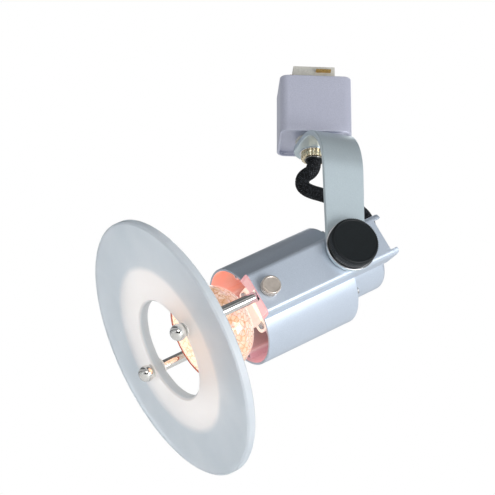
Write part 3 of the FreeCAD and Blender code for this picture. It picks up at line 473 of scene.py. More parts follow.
def clearFinish():
    made, tree, shader = newFinish("clearGlass", IOR=1.46, Transmission_Weight=1.0,
                                   Emission_Color=tone(255, 214, 170), Emission_Strength=0.25)
    wave = noise(tree, 120, 1)
    tree.links.new(ranged(tree, wave, 0.02, 0.07), shader.inputs["Roughness"])
    tree.links.new(blended(tree, wave, tone(250, 250, 248), tone(255, 255, 255)), shader.inputs["Base Color"])
    relief(tree, shader, wave, 0.02)
    return made


def filamentFinish():
    made, tree, shader = newFinish("filament", Emission_Strength=14.0)
    coil = noise(tree, 900, 1)
    heat = blended(tree, ranged(tree, coil, 0, 1), tone(255, 190, 110), tone(255, 235, 190))
    tree.links.new(heat, shader.inputs["Emission Color"])
    tree.links.new(heat, shader.inputs["Base Color"])
    tree.links.new(ranged(tree, coil, 0.4, 0.6), shader.inputs["Roughness"])
    relief(tree, shader, coil, 0.05)
    return made


def paintedLampLight(material):
    # Painted lamp light: emission on the paint where the lamp would shine; "lit" is how much; "rose" is 0 for
    # orange, 1 for rose, 2 for cream.
    tree = material.node_tree
    shader = tree.nodes["Principled BSDF"]
    lit = attribute(tree, "lit")
    rose = attribute(tree, "rose")
    cloud = noise(tree, 60, 1)
    warm = blended(tree, ranged(tree, cloud, 0, 1), tone(255, 104, 52), tone(255, 140, 92))
    rosy = blended(tree, ranged(tree, rose, 0, 1, 0, 1), warm, tone(238, 122, 128))
    cream = blended(tree, ranged(tree, rose, 0, 1, 1, 2), rosy, tone(255, 238, 220))
    tree.links.new(cream, shader.inputs["Emission Color"])
    tree.links.new(lit, shader.inputs["Emission Strength"])


# Painted lamp light on the head's paint, wherever a piece carries "lit" values.
paintedLampLight(finishes["head_paint"])
finishes["cord_braid"] = braidFinish()
finishes["dichroic_glass"] = glowFinish()
finishes["frosted_glass"] = frostFinish()
finishes["clear_glass"] = clearFinish()
finishes["filament"] = filamentFinish()
print("finishes:", len(finishes))


camera = {"azimuth": 3.3686, "elevation": 24.0204, "roll": 0.3, "distance": 1360.94, "lens": 164.4,
          "target": (-36.88, 41.10, -87.19), "near": 0.05, "far": 20}


def setCamera():
    azimuth = math.radians(camera["azimuth"])
    climb = math.radians(camera["elevation"])
    roll = math.radians(camera["roll"])
    flat = math.cos(climb)
    ahead = np.array([math.sin(azimuth) * flat, math.cos(azimuth) * flat, math.sin(climb)])
    level = np.array([math.cos(azimuth), -math.sin(azimuth), 0])
    up = np.cross(level, ahead)
    right = level * math.cos(roll) + up * math.sin(roll)
    top = up * math.cos(roll) - level * math.sin(roll)
    data = bpy.data.cameras.new("camera")
    data.lens = camera["lens"]
    data.clip_start = camera["near"]
    data.clip_end = camera["far"]
    made = placed("camera", data)
    turn = Matrix(np.array([right, top, -ahead]).T.tolist()).to_4x4()
    spot = (np.array(camera["target"]) - camera["distance"] * ahead) * mm
    made.matrix_world = Matrix.Translation(Vector(spot)) @ turn
    bpy.context.scene.camera = made


lights = {  # place in metres, size, power and colour
    "key": ((0.66, -0.78, -0.6), 0.7, 11, (0.97, 0.98, 1.0)),
    "front": ((-0.1, -1.7, -0.2), 0.9, 4.2, (1.0, 0.985, 0.97)),
    "back": ((0.4, 1.2, 1.0), 1.0, 4, (0.95, 0.97, 1.0)),
}


lightAim = Vector((-0.03, 0.0, -0.12))  # the middle of the object, in metres


def setLights():
    for name, (spot, size, power, colour) in lights.items():
        data = bpy.data.lights.new(name, "AREA")
        data.shape = "DISK"
        data.size = size
        data.energy = power
        data.color = colour
        made = placed(name, data)
        made.location = spot
        made.rotation_euler = (lightAim - Vector(spot)).to_track_quat("-Z", "Y").to_euler()


sky = {  # (place from floor to ceiling, brightness), and the dark place: its direction, edge and brightness
    "levels": ((0.0, 0.22), (0.28, 0.34), (0.4, 0.8), (0.47, 0.9), (0.51, 0.15), (0.55, 0.7), (0.6, 0.5),
               (0.64, 0.12), (0.68, 0.14), (0.71, 0.62), (0.8, 0.5), (0.85, 0.1), (1.0, 0.2)),
    "viewer": (0.06, -0.91, -0.41), "edge": (0.8, 0.84), "dark": 0.03}


def setWorld():
    # White behind the object and through its glass. The light is brightest near the horizon, with dim bands
    # above it and a dark place where a viewer stands.
    world = bpy.data.worlds.new("studio")
    world.use_nodes = True
    bpy.context.scene.world = world
    tree = world.node_tree
    tree.nodes.clear()
    where = shaderNode(tree, "TexCoord").outputs["Generated"]
    height = shaderNode(tree, "SeparateXYZ", {"Vector": where}).outputs["Z"]
    stops = [(position, (level * 0.98, level, level * 1.02, 1)) for position, level in sky["levels"]]
    colour = ramped(tree, ranged(tree, height, 0, 1, -1, 1), stops)
    facing = shaderNode(tree, "VectorMath", {0: where, 1: sky["viewer"]}, operation="DOT_PRODUCT")
    room = ranged(tree, facing.outputs["Value"], 1, sky["dark"], *sky["edge"])
    studio = shaderNode(tree, "Background", {"Color": colour, "Strength": room})
    plain = shaderNode(tree, "Background", {"Color": (1, 1, 1, 1), "Strength": 1.0})
    path = shaderNode(tree, "LightPath").outputs
    seen = shaderNode(tree, "Math", {0: path["Is Camera Ray"], 1: path["Is Transmission Ray"]},
                      operation="MAXIMUM").outputs[0]
    mixed = shaderNode(tree, "MixShader", {0: seen, 1: studio.outputs[0], 2: plain.outputs[0]})
    shaderNode(tree, "OutputWorld", {"Surface": mixed.outputs[0]})


ground = {"side": 2.5, "near": -1.1, "level": -0.9}  # metres


def setFloor():
    side, near, level = ground["side"], ground["near"], ground["level"]
    mesh = bpy.data.meshes.new("floor")
    mesh.from_pydata([(-side, near, level), (side, near, level), (side, side, level), (-side, side, level)],
                     [], [(0, 1, 2, 3)])
    mesh.materials.append(grained("floorPaint", tone(236, 236, 234), tone(242, 242, 241), (0.6, 0.7), 40,
                                  Emission_Color=(1, 1, 1, 1), Emission_Strength=0.38))
    placed("floor", mesh)


setCamera()
setLights()
setWorld()
setFloor()
bpy.context.scene.view_settings.view_transform = "Standard"
print("camera, light and floor")


cord = {"radius": 4.2, "carriers": 14, "pitch": 15.0, "relief": 0.42, "swell": 0.7, "rings": 720,
        "around": 112, "exit": (0, 0, -48.8),
        "bracketPoints": ((0, 0, -48.8), (0, 0, -54.5), (-6.8, 3, -58.5), (-6.2, 3, -66.5), (8.5, -3.5, -72),
                          (19, -14, -82)),
        "headPoints": ((33, 26, 18), (27.5, 20, 7), (15, 18.3, 5), (3, 18.3, 5)),
        "length": 106.3}


def splineLine(points):  # the points of the route's own smooth line, evenly spaced
    curve = bpy.data.curves.new("route", "CURVE")
    curve.dimensions = "3D"
    curve.resolution_u = 48
    spline = curve.splines.new("NURBS")
    spline.points.add(len(points) - 1)
    for control, point in zip(spline.points, points):
        control.co = tuple(point) + (1,)
    spline.order_u = 3
    spline.use_endpoint_u = True
    carrier = placed("route", curve)
    bpy.context.view_layer.update()
    sampled = bpy.data.meshes.new_from_object(carrier)
    line = np.array([vertex.co[:] for vertex in sampled.vertices])
    bpy.data.objects.remove(carrier)
    bpy.data.meshes.remove(sampled)
    reach = np.concatenate([[0], np.cumsum(np.linalg.norm(np.diff(line, axis=0), axis=1))])
    even = np.linspace(0, reach[-1], cord["rings"])
    return np.stack([np.interp(even, reach, line[:, axis]) for axis in range(3)], -1), reach[-1]


def supplyCord():
    # A tube round the line. Two families of strands cross it as helices and take turns on top; a strand's
    # height is a half sine across its width.
    points = np.concatenate([toWorld(swivel, cord["bracketPoints"]), toWorld(head, cord["headPoints"])])
    line, length = splineLine(points)
    tangent = np.gradient(line, axis=0)
    tangent /= np.linalg.norm(tangent, axis=1, keepdims=True)
    side = depth - tangent * (tangent @ depth)[:, None]
    side /= np.linalg.norm(side, axis=1, keepdims=True)
    other = np.cross(tangent, side)
    angle = np.linspace(0, 2 * math.pi, cord["around"], endpoint=False)[None]
    along = np.linspace(0, length / mm, cord["rings"])[:, None]
    share = angle / (2 * math.pi)
    right = cord["carriers"] * (share + along / cord["pitch"])
    left = cord["carriers"] * (share - along / cord["pitch"])
    onTop = (np.floor(right) + np.floor(left)) % 2 == 0
    crest = np.where(onTop, np.abs(np.sin(math.pi * right)), np.abs(np.sin(math.pi * left)))
    radius = (cord["radius"] - cord["relief"] * (1 - crest ** cord["swell"])) * mm
    ends = np.ones(len(line))
    ends[[0, -1]] = 0
    radius = radius * ends[:, None]
    spokes = side[:, None] * np.cos(angle)[..., None] + other[:, None] * np.sin(angle)[..., None]
    tube = (line[:, None] + spokes * radius[..., None]) / mm
    mesh = buildMesh("supply_cord_sleeve", track, [(tube, False, True)], {"crest": crest})
    soften(mesh, 60)
    mesh.materials.append(finishes["cord_braid"])
    made = placed("supply_cord_sleeve", mesh)
    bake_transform(made)
    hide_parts("supply_cord")
    print("cord line %.1f mm" % (length / mm))


supplyCord()


adapter = {"corner": 5.0, "edge": 0.5, "rim": 1.5, "lip": 0.35, "wall": 1.8, "recess": 2.0, "floor": 2.0,
           "hole": 6.0, "latchSide": 1.6, "latchBelow": 3.4, "latchAbove": 5.4, "latchDeep": 4.0,
           "cornerSteps": 14, "sideSteps": 6}


def roundedLoop(halfX, halfY, radius):
    # A rounded rectangle with the same count of points on every corner and side, so that loops of several
    # sizes line up.
    quarter = np.linspace(0, math.pi / 2, adapter["cornerSteps"])
    points = []
    for turn, (sideX, sideY) in enumerate(((1, 1), (-1, 1), (-1, -1), (1, -1))):
        angle = quarter + turn * math.pi / 2
        centre = np.array([sideX * (halfX - radius), sideY * (halfY - radius)])
        points.append(centre + radius * np.stack([np.cos(angle), np.sin(angle)], -1))
    loop = []
    blendSteps = np.linspace(0, 1, adapter["sideSteps"] + 1)[1:-1, None]
    for number, corner in enumerate(points):
        following = points[(number + 1) % 4][0]
        loop += [corner, corner[-1] + (following - corner[-1]) * blendSteps]
    return np.concatenate(loop)


def adapterHousing():
    # Rounded rectangles stacked down the outside, in under the rim, across the floor to the hole and back up
    # inside, where the last meets the first.
    low, high = extent("adapter_housing", track)
    halfX, halfY, bottom = high[0], high[1], low[2]
    edge = adapter["edge"]

    def level(inset, height):
        corner = max(adapter["corner"] - inset, 0.4)
        loop = roundedLoop(halfX - inset, halfY - inset, corner)
        return np.concatenate([loop, np.full((len(loop), 1), height)], 1)

    def hole(height, radius):
        outline = roundedLoop(halfX, halfY, adapter["corner"])
        direction = outline / np.linalg.norm(outline, axis=1, keepdims=True)
        return np.concatenate([direction * radius, np.full((len(outline), 1), height)], 1)

    swing = np.linspace(0, math.pi / 2, 5)
    rows = [level(edge * 0.5 * (1 - math.sin(a)), -edge * 0.5 * (1 - math.cos(a))) for a in swing]
    rows += [level(0, height) for height in np.linspace(-1, bottom + edge, 12)]
    rows += [level(edge * (1 - math.cos(a)), bottom + edge - edge * math.sin(a)) for a in swing[1:]]
    inner, lip = adapter["rim"], adapter["lip"]
    rows += [level(inner - lip * math.cos(a), bottom + lip - lip * math.sin(a)) for a in swing[::-1]]
    under = bottom + adapter["recess"]
    rows += [level(inner, under - 0.3), level(inner + 0.1, under - 0.08), level(inner + 0.3, under)]
    rows += [level(4.5, under), hole(under, adapter["hole"] + 0.2), hole(under + 0.2, adapter["hole"])]
    top = under + adapter["floor"]
    rows += [hole(top, adapter["hole"]), level(adapter["wall"], top), level(adapter["wall"], 0)]
    made = piece("adapter_shell", track, [(np.array(rows), True, True)], "adapter", "adapter_paint",
                 ("adapter_housing",))
    latchLow, latchHigh = extent("track_latch", track)
    left, right = latchLow[0] + adapter["latchSide"], latchHigh[0] - adapter["latchSide"]
    below, above = latchLow[2] - adapter["latchBelow"], latchLow[2] + adapter["latchAbove"]
    depths = (halfY - adapter["latchDeep"],) * 2 + (halfY + 1,) * 2
    window = np.array([[(left, y, below), (right, y, below), (right, y, above), (left, y, above)]
                       for y in depths])
    window[0] = window[0].mean(0)
    window[3] = window[3].mean(0)
    carve(made, track, [(window, False, True)])


adapterHousing()


ring = {"gap": 0.02, "edge": 0.2, "turns": 120, "pairReach": 10, "reach": 15}


def ringPiece(name, local, slotName, centres):
    # A washer or collar turned from its part's own inner and outer radius, with eased edges and a hair
    # thinner, so that it only just clears what it rubs on.
    points = nodePoints(name, local)
    low, high = points[:, 2].min() + ring["gap"], points[:, 2].max() - ring["gap"]
    edge = ring["edge"]
    sheets = []
    for x, y in centres:
        distance = radial(points - (x, y, 0))
        inner = distance.min()
        reach = ring["pairReach"] if len(centres) > 1 else inner + ring["reach"]
        outer = distance[distance < reach].max()
        corners = [(low, inner, edge / 2), (low, outer, edge), (high, outer, edge), (high, inner, edge / 2)]
        sheets.append((lathe(rounded(corners, 4), ring["turns"]) + (x, y, 0), True, True))
    body = frame["nodes"][name]["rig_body"]
    return piece(name + "_turned", local, sheets, body, slotName, (name,))


rodLow, rodHigh = extent("near_rod", lampAxis)
rodSpread = -(rodLow[1] + rodHigh[1]) / 2
rodCentres = ((0, -rodSpread), (0, rodSpread))
for name, local, slotName in (
        ("upper_swivel_washer", track, "nylon"), ("lower_swivel_washer", track, "nylon"),
        ("spacer_collar", track, "bracket_paint"), ("lock_washer", track, "washer_chrome"),
        ("knob_washer", outward, "washer_chrome"), ("friction_disc", outward, "fibre"),
        ("knob_insert", outward, "contact_brass"), ("rear_soft_washers", lampAxis, "soft_washer"),
        ("front_soft_washers", lampAxis, "soft_washer")):
    ringPiece(name, local, slotName, rodCentres if slotName == "soft_washer" else ((0, 0),))
print("adapter and washers")


strap = {"bendStart": 12.0, "stock": 3.2, "edge": 0.55, "stemBore": 5.7, "studHole": 3.3, "stations": 420,
         "across": 36}


def strapBracket():
    # A strip of rounded section carried along its own path: flat, a quarter bend, then straight down. Its
    # half widths follow circles at both ends, the lower one larger and set to one side.
    low, high = extent("strap_bracket", swivel)
    studPoint = (head[0] @ swivel[1].T) / mm
    top, face = high[2], low[1]
    stock = strap["stock"]
    half = high[1]  # the upper end is a half circle about the swivel axis
    bendRadius = -face - strap["bendStart"]
    arc = bendRadius * math.pi / 2
    straight = (top - bendRadius) - studPoint[2]
    lobe = studPoint[2] - low[2]
    length = half + strap["bendStart"] + arc + straight + lobe
    knob = length - lobe
    even = np.linspace(0, math.pi / 2, 40)
    start = half * (1 - np.cos(even))
    end = length - lobe * (1 - np.sin(even))
    along = np.concatenate([start, np.linspace(half, knob, strap["stations"])[1:-1], end])
    upper = np.sqrt(np.clip(half ** 2 - np.clip(half - along, 0, None) ** 2, 0, None))
    across = along - knob
    circle = np.sqrt(np.clip(lobe ** 2 - across ** 2, 0, None))
    offset = studPoint[0]
    lean = (half - lobe + offset) * np.clip(1 + across / straight, 0, 1)
    leftEdge = np.where(across > 0, offset - circle, -upper + lean)
    bulge = offset + circle
    reach = np.where(np.abs(across) < lobe, bulge, 0)
    rightEdge = np.where(across > 0, bulge, np.maximum(reach, upper))
    # Path on the outer face: distance along it gives the place and the outward normal.
    past = along - half - strap["bendStart"]
    angle = np.clip(past / bendRadius, 0, math.pi / 2)
    down = np.clip(past - arc, 0, None)
    pathY = np.where(past < 0, half - along, -strap["bendStart"] - bendRadius * np.sin(angle))
    pathZ = np.where(past < 0, top, top - bendRadius * (1 - np.cos(angle)) - down)
    normalY, normalZ = -np.sin(angle), np.cos(angle)
    # Section: a loop of points, each with its share of the half width from -1 to 1, a shift off the edge and
    # a drop below the outer face.
    edge = strap["edge"]
    quarter = np.linspace(0, math.pi / 2, 5)
    flat = np.linspace(-1, 1, strap["across"])[1:-1]
    near, far = edge * (1 - np.cos(quarter)), edge * (1 - np.sin(quarter))
    one, level = 1 + 0 * quarter, 0 * flat
    share = np.concatenate([-one, flat, one, one, flat[::-1], -one])
    inset = np.concatenate([near, level, -far, -near, level, far])
    drop = np.concatenate([far, level, near, stock - far, stock + level, stock - near])
    centre = (leftEdge + rightEdge)[:, None] / 2
    halfWidth = (rightEdge - leftEdge)[:, None] / 2
    squeeze = np.clip(halfWidth / (2 * edge), 0, 1)
    acrossX = centre + share[None] * halfWidth + inset[None] * squeeze
    grid = np.stack([acrossX, pathY[:, None] - normalY[:, None] * drop[None],
                     pathZ[:, None] - normalZ[:, None] * drop[None]], -1)
    made = piece("strap", swivel, [(grid, False, True)], "bracket", "bracket_paint", ("strap_bracket",), 40)
    carve(made, swivel, [plug(strap["stemBore"], -90, -30, 64)], 40)
    carve(made, outward, [plug(strap["studHole"], -10, 10, 48)], 40)


strapBracket()

nut = {"teeth": 20, "tooth": 0.9, "power": 1.5, "chamfer": 0.5, "land": 0.4, "mouth": 0.3, "turns": 384}


def lockNut():
    # A turned ring whose outside dips in round notches.
    points = nodePoints("lock_nut", track)
    low, high = points[:, 2].min(), points[:, 2].max()
    inner, outer = radial(points).min(), radial(points).max()
    bevel, land, mouth = nut["chamfer"], nut["land"], nut["mouth"]
    profile = [(low, inner + mouth), (low, outer - bevel - land), (low, outer - bevel, 0.4),
               (low + bevel, outer, 1), (high - bevel, outer, 1), (high, outer - bevel, 0.4),
               (high, outer - bevel - land), (high, inner + mouth), (high - mouth, inner),
               (low + mouth, inner)]
    grid = lathe(profile, nut["turns"], ridged(nut["teeth"], nut["tooth"], nut["power"]))
    piece("serrated_nut", track, [(grid, True, True)], "bracket", "nut_brass", ("lock_nut",), 35)


lockNut()

knob = {"ridges": 72, "ridge": 0.42, "dish": 0.3, "inset": 0.3, "turns": 768}


def clampKnob():
    # A turned cap with fine straight ridges round its side and a shallow dish in its face.
    points = nodePoints("clamp_knob", outward)
    radius = radial(points).max()
    low, high = points[:, 2].min(), points[:, 2].max()
    wall, floor = radius - knob["inset"], high - knob["dish"]
    outline = rounded([(low, 0, 0), (low, radius - 1.3, 0.15), (low + 0.9, wall, 0.2),
                       (high - 0.8, wall, 0.2), (high, radius - 0.95, 0.4), (high, radius - 1.4, 0.2),
                       (floor, radius - 1.7, 0.15), (floor, 0, 0)], 4)
    side = (outline[:, 1] > radius - 0.8) & (outline[:, 0] < high - 0.5)
    profile = np.column_stack([outline, side.astype(float)])
    profile[side, 1] += knob["inset"]
    grid = lathe(profile, knob["turns"], ridged(knob["ridges"], knob["ridge"]))
    piece("knob_cap", outward, [(grid, False, True)], "knob", "black_plastic", ("clamp_knob",), 50)


clampKnob()
eased("stem_nipple", "nipple_steel")
eased("knob_stud", "small_steel", 0.2)


def turnedFrom(name, local, slotName, corners, turns=120):
    body = frame["nodes"][name]["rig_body"]
    piece(name + "_turned", local, [(lathe(rounded(corners, 5), turns), True, True)], body, slotName, (name,))


bushing = {"bore": 2.6, "neck": 4.25, "flange": 5.3, "thick": 1.0}
low, high = (end[2] for end in extent("cord_bushing", track))
bore, neck, flange, step = bushing["bore"], bushing["neck"], bushing["flange"], low + bushing["thick"]
turnedFrom("cord_bushing", track, "black_plastic", [
    (low, bore, 0.3), (low, flange, 0.4), (step, flange, 0.2), (step, neck, 0.05), (high, neck, 0.3),
    (high, bore, 0.2)])
print("bracket and knob")


# glow is the painted lamp light on the bore: a base, then shares for its upper and lower sides.
barrel = {"wall": 1.6, "port": 2.6, "portOffset": 18.5, "setback": 2.0, "lip": 0.45, "pilot": 1.25,
          "plate": 2.0, "glow": (0.12, 0.75, 0.4)}


def lampBarrel():
    # A tube whose bore follows the wall except where four screw ports stand in: there the radius is the near
    # side of the port's circle, d cos(a) - sqrt(p^2 - d^2 sin(a)^2).
    low, high = extent("lamp_barrel", lampAxis)
    outer, front, back = high[0], low[2], high[2]
    inner = outer - barrel["wall"]
    offset = barrel["portOffset"]
    distance = math.hypot(offset, offset)
    spread = math.asin(barrel["port"] / distance)
    fine = np.linspace(-spread * 1.02, spread * 1.02, 33)
    angles = [math.pi / 4 + turn * math.pi / 2 + fine for turn in range(4)]
    angles += [turn * math.pi / 2 + np.linspace(-0.675, 0.675, 60) for turn in range(4)]
    angle = np.sort(np.concatenate(angles) % (2 * math.pi))
    swing = (angle % (math.pi / 2)) - math.pi / 4
    root = barrel["port"] ** 2 - (distance * np.sin(swing)) ** 2
    bore = np.where(root > 0, distance * np.cos(swing) - np.sqrt(np.clip(root, 0, None)), inner)
    bore = np.minimum(bore, inner)
    plain = np.full(len(angle), inner)
    outside = np.full(len(angle), outer)
    lip = barrel["lip"]
    quarter = np.linspace(0, math.pi / 2, 5)
    rows = [(front + lip * (1 - math.sin(a)), outside - lip * (1 - math.cos(a))) for a in quarter[::-1]]
    rows += [(height, outside) for height in np.linspace(front + 1, back - 1, 24)]
    rows += [(back - 0.3, outside), (back, outside - 0.3), (back, plain + 0.3), (back - 0.3, plain)]
    rim, step = back - barrel["plate"], front + barrel["setback"]
    rows += [(rim, plain), (rim, bore)]
    rows += [(height, bore) for height in np.linspace(rim - 1, step + 0.3, 20)]
    rows += [(step, np.minimum(bore + 0.25, inner)), (step, plain)]
    rows += [(front + lip * (1 - math.sin(a)), plain + lip * (1 - math.cos(a))) for a in quarter]
    grid = np.array([polar(radius, angle, height) for height, radius in rows])
    # Painted lamp light on the bore near the mouth: brighter on its upper side, some on its lower, fading
    # back from the mouth; rose sets its tint.
    inside = radial(grid) < inner + lip * 0.6
    above = np.clip(-np.cos(angle), 0, 1)[None]
    below = np.clip(np.cos(angle), 0, 1)[None]
    fade = np.clip((front + 45 - grid[..., 2]) / 45, 0.25, 1)
    lit = inside * fade * (barrel["glow"][0] + barrel["glow"][1] * above + barrel["glow"][2] * below ** 2)
    rose = 0.5 + 0.5 * np.cos(angle)[None] + 0 * grid[..., 0]
    made = piece("barrel_tube", lampAxis, [(grid, True, True)], "head", "head_paint", ("lamp_barrel",), 30,
                 {"lit": lit, "rose": rose})
    carve(made, lampAxis, [plug(barrel["pilot"], front - 1, back - 4, 24, x * offset, y * offset)
                           for x in (-1, 1) for y in (-1, 1)], 30)


lampBarrel()


cup = {"wall": 1.5, "lip": 0.3, "round": 4.0, "inside": 2.5}


def rearCup():
    low, high = extent("rear_cup", lampAxis)
    radius, front, back, wall = high[0], low[2], high[2], cup["wall"]
    profile = rounded([(front, radius - wall, 0), (front, radius, cup["lip"]), (back, radius, cup["round"]),
                       (back, 0, 0), (back - wall, 0, 0), (back - wall, radius - wall, cup["inside"])], 9)
    piece("cup", lampAxis, [(lathe(profile), True, True)], "head", "head_paint", ("rear_cup",), 32)


rearCup()

for name, slotName, width in (
        ("spine_channel", "head_paint", 0.35), ("near_rod_guide", "head_paint", 0.3),
        ("far_rod_guide", "guide_metal", 0.3), ("rear_end_plate", "head_paint", 0.25),
        ("socket_bracket", "small_steel", 0.15), ("lamp_socket", "ceramic", 0.4),
        ("lamp_base", "ceramic", 0.4), ("lamp_pins", "small_steel", 0.12), ("web_nut", "small_steel", 0.2),
        ("guide_block_screws", "small_steel", 0.15), ("far_guide_screws", "small_steel", 0.15),
        ("end_plate_screws", "small_steel", 0.15), ("socket_screws", "small_steel", 0.15),
        ("housing_screws", "small_steel", 0.15), ("contact_base", "contact_plastic", 0.35),
        ("line_contact", "contact_brass", 0.15), ("neutral_contact", "contact_brass", 0.15),
        ("ground_contact", "contact_brass", 0.15), ("track_latch", "latch_metal", 0.25)):
    eased(name, slotName, width)


def paintLampLightOnFaces(name, strength, rose, facing, beyond):
    # Faces that look along a direction of the head, near the mouth, get painted lamp light through their
    # "lit" and "rose" values.
    mesh = bpy.data.objects[name + "_finished"].data
    count = len(mesh.polygons)
    normals = np.empty(count * 3)
    mesh.polygons.foreach_get("normal", normals)
    looking = normals.reshape(-1, 3) @ (head[1].T @ np.array(facing)) > 0.8
    chosen = looking & (facePlaces(mesh, head)[:, 0] < beyond)
    for label, value in (("lit", strength), ("rose", rose)):
        held = mesh.attributes.get(label) or mesh.attributes.new(label, "FLOAT", "FACE")
        values = np.zeros(count, np.float32)
        held.data.foreach_get("value", values)
        values[chosen] = value
        held.data.foreach_set("value", values)


# Painted lamp light on the spine's and the near guide's faces.
for name, strength, rose, facing, inwards in (  # inwards is how far behind the mouth the light reaches
        ("spine_channel", 0.55, 1.0, (-1, 0, 0), 0), ("near_rod_guide", 0.58, 1.2, (-1, 0, 0), 30),
        ("near_rod_guide", 0.6, 1.9, (0, -1, 0), 30), ("near_rod_guide", 0.7, 1.8, (0, 1, 0), 20),
        ("near_rod_guide", 0.8, 2.0, (0, 0, -1), 20)):
    paintLampLightOnFaces(name, strength, rose, facing, barrelLow[0] + inwards)

grommet = {"bore": 2.6, "neck": 3.15, "flange": 4.9, "thick": 2.5}
grommetLow, grommetHigh = extent("head_grommet", lampAxis)
grommetMiddle = (grommetLow + grommetHigh) / 2
low, high = grommetLow[2], grommetHigh[2]
bore, neck, flange, step = grommet["bore"], grommet["neck"], grommet["flange"], high - grommet["thick"]
turnedFrom("head_grommet", moved(lampAxis, grommetMiddle[0], grommetMiddle[1], 0), "black_plastic", [
    (low, bore, 0.1), (low, neck, 0.1), (step, neck, 0.1), (step, flange, 0.2), (high, flange, 0.7),
    (high, bore, 0.4)])
print("barrel, cup and spine")


lamp = {"facets": 40, "bands": 11, "rim": 2.4, "glass": 1.4, "neck": 9.2, "side": 24.6, "shoulder": 17.4,
        "bowl": 19.7, "draws": 7}


def lampReflector():
    # A bowl of pressed glass: a straight side, then an arc in to the neck. Coarse flat cells are its facets,
    # staggered by half a cell from band to band.
    low, high = extent("lamp_reflector", lampAxis)
    rim, front, back = high[0], low[2], high[2]
    start = np.array([front + lamp["shoulder"], lamp["side"]])
    end = np.array([back, lamp["neck"]])
    halfChord = np.linalg.norm(end - start) / 2
    inwards = np.array([end[1] - start[1], start[0] - end[0]]) / (2 * halfChord)
    centre = (start + end) / 2 + inwards * math.sqrt(lamp["bowl"] ** 2 - halfChord ** 2)
    first = math.atan2(*(start - centre)[::-1])
    last = math.atan2(*(end - centre)[::-1])
    angle = np.linspace(first, last, lamp["bands"])
    arc = np.stack([np.cos(angle), np.sin(angle)], -1)
    straight = np.linspace(front + lamp["rim"], start[0], 5)[:-1]
    outside, inside = [
        np.concatenate([np.column_stack([straight, 0 * straight + lamp["side"] - thick]),
                        centre + (lamp["bowl"] - thick) * arc]) for thick in (0, lamp["glass"])]
    turn = np.linspace(0, 2 * math.pi, lamp["facets"], endpoint=False)

    def faceted(profile):
        around = turn + (np.arange(len(profile)) % 2)[:, None] * math.pi / lamp["facets"]
        return polar(profile[:, 1:2], around, profile[:, 0:1])

    lip = rounded([(front + lamp["rim"] - 0.6, rim - 1.7, 0), (front, rim - 1.7, 0.2), (front, rim, 0.6),
                   (front + lamp["rim"], rim, 0.3), (front + lamp["rim"], rim - 0.5, 0)], 3)
    grid = np.concatenate([lathe(lip, lamp["facets"]), faceted(outside), faceted(inside[::-1])])
    mesh = buildMesh("reflector_glass", lampAxis, [(grid, True, True)])
    flat = bmesh.new()
    flat.from_mesh(mesh)
    bmesh.ops.triangulate(flat, faces=flat.faces)
    flat.to_mesh(mesh)
    flat.free()
    made = placed("reflector_glass", mesh)
    tint = np.random.default_rng(lamp["draws"]).random(len(mesh.polygons))
    height = facePlaces(mesh, lampAxis)[:, 2]
    faceValues(mesh, "facet", tint)
    faceValues(mesh, "along", (height - front) / (back - front))
    settle(made, "head", "dichroic_glass", ("lamp_reflector",))


lampReflector()
eased("lamp_cover", "clear_glass", 0.2)
eased("lamp_capsule", "clear_glass", 0.2)


filament = {"turns": 11, "gap": 0.16, "wire": 0.14, "perTurn": 24, "sides": 10, "taper": 40}


def filamentCoil():
    # A fine helix of wire in place of the plain slug.
    low, high = extent("lamp_filament", lampAxis)
    coil = wireCoil(low[2], high[2], high[0] - filament["gap"], filament["turns"], filament)
    piece("filament_coil", lampAxis, [coil], "head", "filament", ("lamp_filament",), 60)


filamentCoil()
print("lamp")


disc = {"ease": 1.0, "bevel": 1.5, "rodHole": 2.3, "border": 3.0, "turns": 240}


def glassDisc():
    # A flat ring of glass: arrises ground all round, and a wide bevel at the front of its hole.
    points = nodePoints("glass_disc", lampAxis)
    distance = radial(points)
    outer, front, back = distance.max(), points[:, 2].min(), points[:, 2].max()
    hole = distance[np.abs(points[:, 2] - back) < 0.01].min()
    ease, bevel, border = disc["ease"], disc["bevel"], disc["border"]
    profile = rounded([(front, hole + bevel, 0.15), (front, outer - ease, 0.25), (front + ease, outer, 0.25),
                       (back - ease, outer, 0.25), (back, outer - ease, 0.25), (back, hole, 0.3),
                       (front + bevel, hole, 0.2)], 4)
    faceRows = np.linspace(hole + border, outer - border, 24)
    first = np.argmax(profile[:, 1] > outer - border - 1)
    last = len(profile) - np.argmax(profile[::-1, 1] > outer - border - 1)
    frontFace = np.column_stack([0 * faceRows + front, faceRows])
    backFace = np.column_stack([0 * faceRows + back, faceRows[::-1]])
    profile = np.concatenate([profile[:first], frontFace, profile[first:last], backFace, profile[last:]])
    grid = lathe(profile, disc["turns"])
    radius = radial(grid)
    # radius carries the painted lamp light of the frosted finish, bore the painted shade on the wall of the
    # hole.
    made = piece("frosted_disc", lampAxis, [(grid, True, True)], "carriage", "frosted_glass", ("glass_disc",),
                 30, {"radius": radius, "bore": (radius < hole + 0.25).astype(float)})
    carve(made, lampAxis, [plug(disc["rodHole"], front - 2, back + 2, 48, 0, y) for x, y in rodCentres], 30)


glassDisc()

rods = {"thread": 2.0, "end": 0.6}


def carriageRods():
    for name in ("near_rod", "far_rod"):
        low, high = extent(name, lampAxis)
        centre = (low + high) / 2
        local = moved(lampAxis, centre[0], centre[1], 0)
        points = nodePoints(name, local)
        radius = radial(points).max()
        shoulder = points[radial(points) > radius - 0.05][:, 2].min()
        profile = rounded([(low[2], 0, 0), (low[2], rods["thread"], 0.3), (shoulder, rods["thread"], 0),
                           (shoulder, radius, 0.2), (high[2], radius, rods["end"]), (high[2], 0, 0)], 6)
        piece(name + "_bar", local, [(lathe(profile, 96), False, True)], "carriage", "polished_chrome",
              (name,), 40)


carriageRods()


ball = {"thread": 2.0, "deep": 1.8}


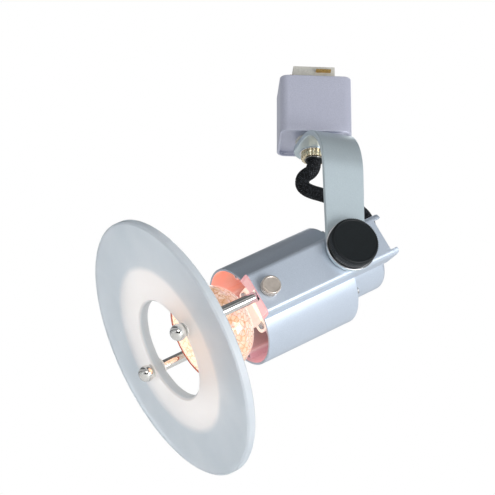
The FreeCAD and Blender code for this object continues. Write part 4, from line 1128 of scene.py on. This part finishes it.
def ballNuts():
    # Spheres, flat at the back where they meet their washers.
    points = nodePoints("ball_nuts", lampAxis)
    low, high = points.min(0), points.max(0)
    radius = high[0]
    centreZ = low[2] + radius
    flat = high[2] - centreZ
    swing = np.linspace(0, math.pi - math.acos(flat / radius), 48)
    sphere = np.column_stack([-radius * np.cos(swing), radius * np.sin(swing)])
    thread, deep = ball["thread"], ball["deep"]
    profile = np.concatenate([sphere, [(flat, thread), (-deep, thread), (-deep, 0)]])
    sheets = [(lathe(profile, 96) + (x, y, centreZ), False, True) for x, y in rodCentres]
    piece("ball_nuts_turned", lampAxis, sheets, "carriage", "polished_chrome", ("ball_nuts",), 40)


ballNuts()

thumb = {"ridges": 34, "ridge": 0.5, "shank": 2.0, "ease": 0.6, "dish": 0.15, "turns": 480}


def thumbScrew():
    # A turned head with straight ridges round its side, on a plain shank.
    points = nodePoints("thumbscrew", thumbPoint)
    radius, low, high = radial(points).max(), points[:, 2].min(), points[:, 2].max()
    under = points[radial(points) > radius - 0.5][:, 2].min()
    shank, ease, floor = thumb["shank"], thumb["ease"], high - thumb["dish"]
    outline = rounded([(low, 0, 0), (low, shank, 0.3), (under, shank, 0), (under, radius - ease, 0.2),
                       (under + ease, radius, 0.2), (high - ease, radius, 0.2), (high, radius - ease, 0.3),
                       (high, radius - 1.2, 0.2), (floor, radius - 1.4, 0.1), (floor, 0, 0)], 4)
    profile = np.column_stack([outline, (outline[:, 1] > radius - 0.35).astype(float)])
    grid = lathe(profile, thumb["turns"], ridged(thumb["ridges"], thumb["ridge"]))
    piece("thumb_head", thumbPoint, [(grid, False, True)], "thumb", "knurled_nickel", ("thumbscrew",), 45)


thumbScrew()


latchCoil = {"pitch": 1.9, "wire": 0.35, "perTurn": 40, "sides": 16, "taper": 120}


def latchSpring():
    low, high = extent("latch_spring", track)
    centre = (low + high) / 2
    wire = latchCoil["wire"]
    turns = (high[2] - low[2] - 2 * wire) / latchCoil["pitch"]
    coil = wireCoil(low[2], high[2], (high[0] - low[0]) / 2 - wire, turns, latchCoil)
    made = piece("latch_coil", moved(track, centre[0], centre[1], 0), [coil], "adapter", "spring_steel",
                 ("latch_spring",), 60)
    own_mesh(made)


latchSpring()
print("disc, rods and nuts")
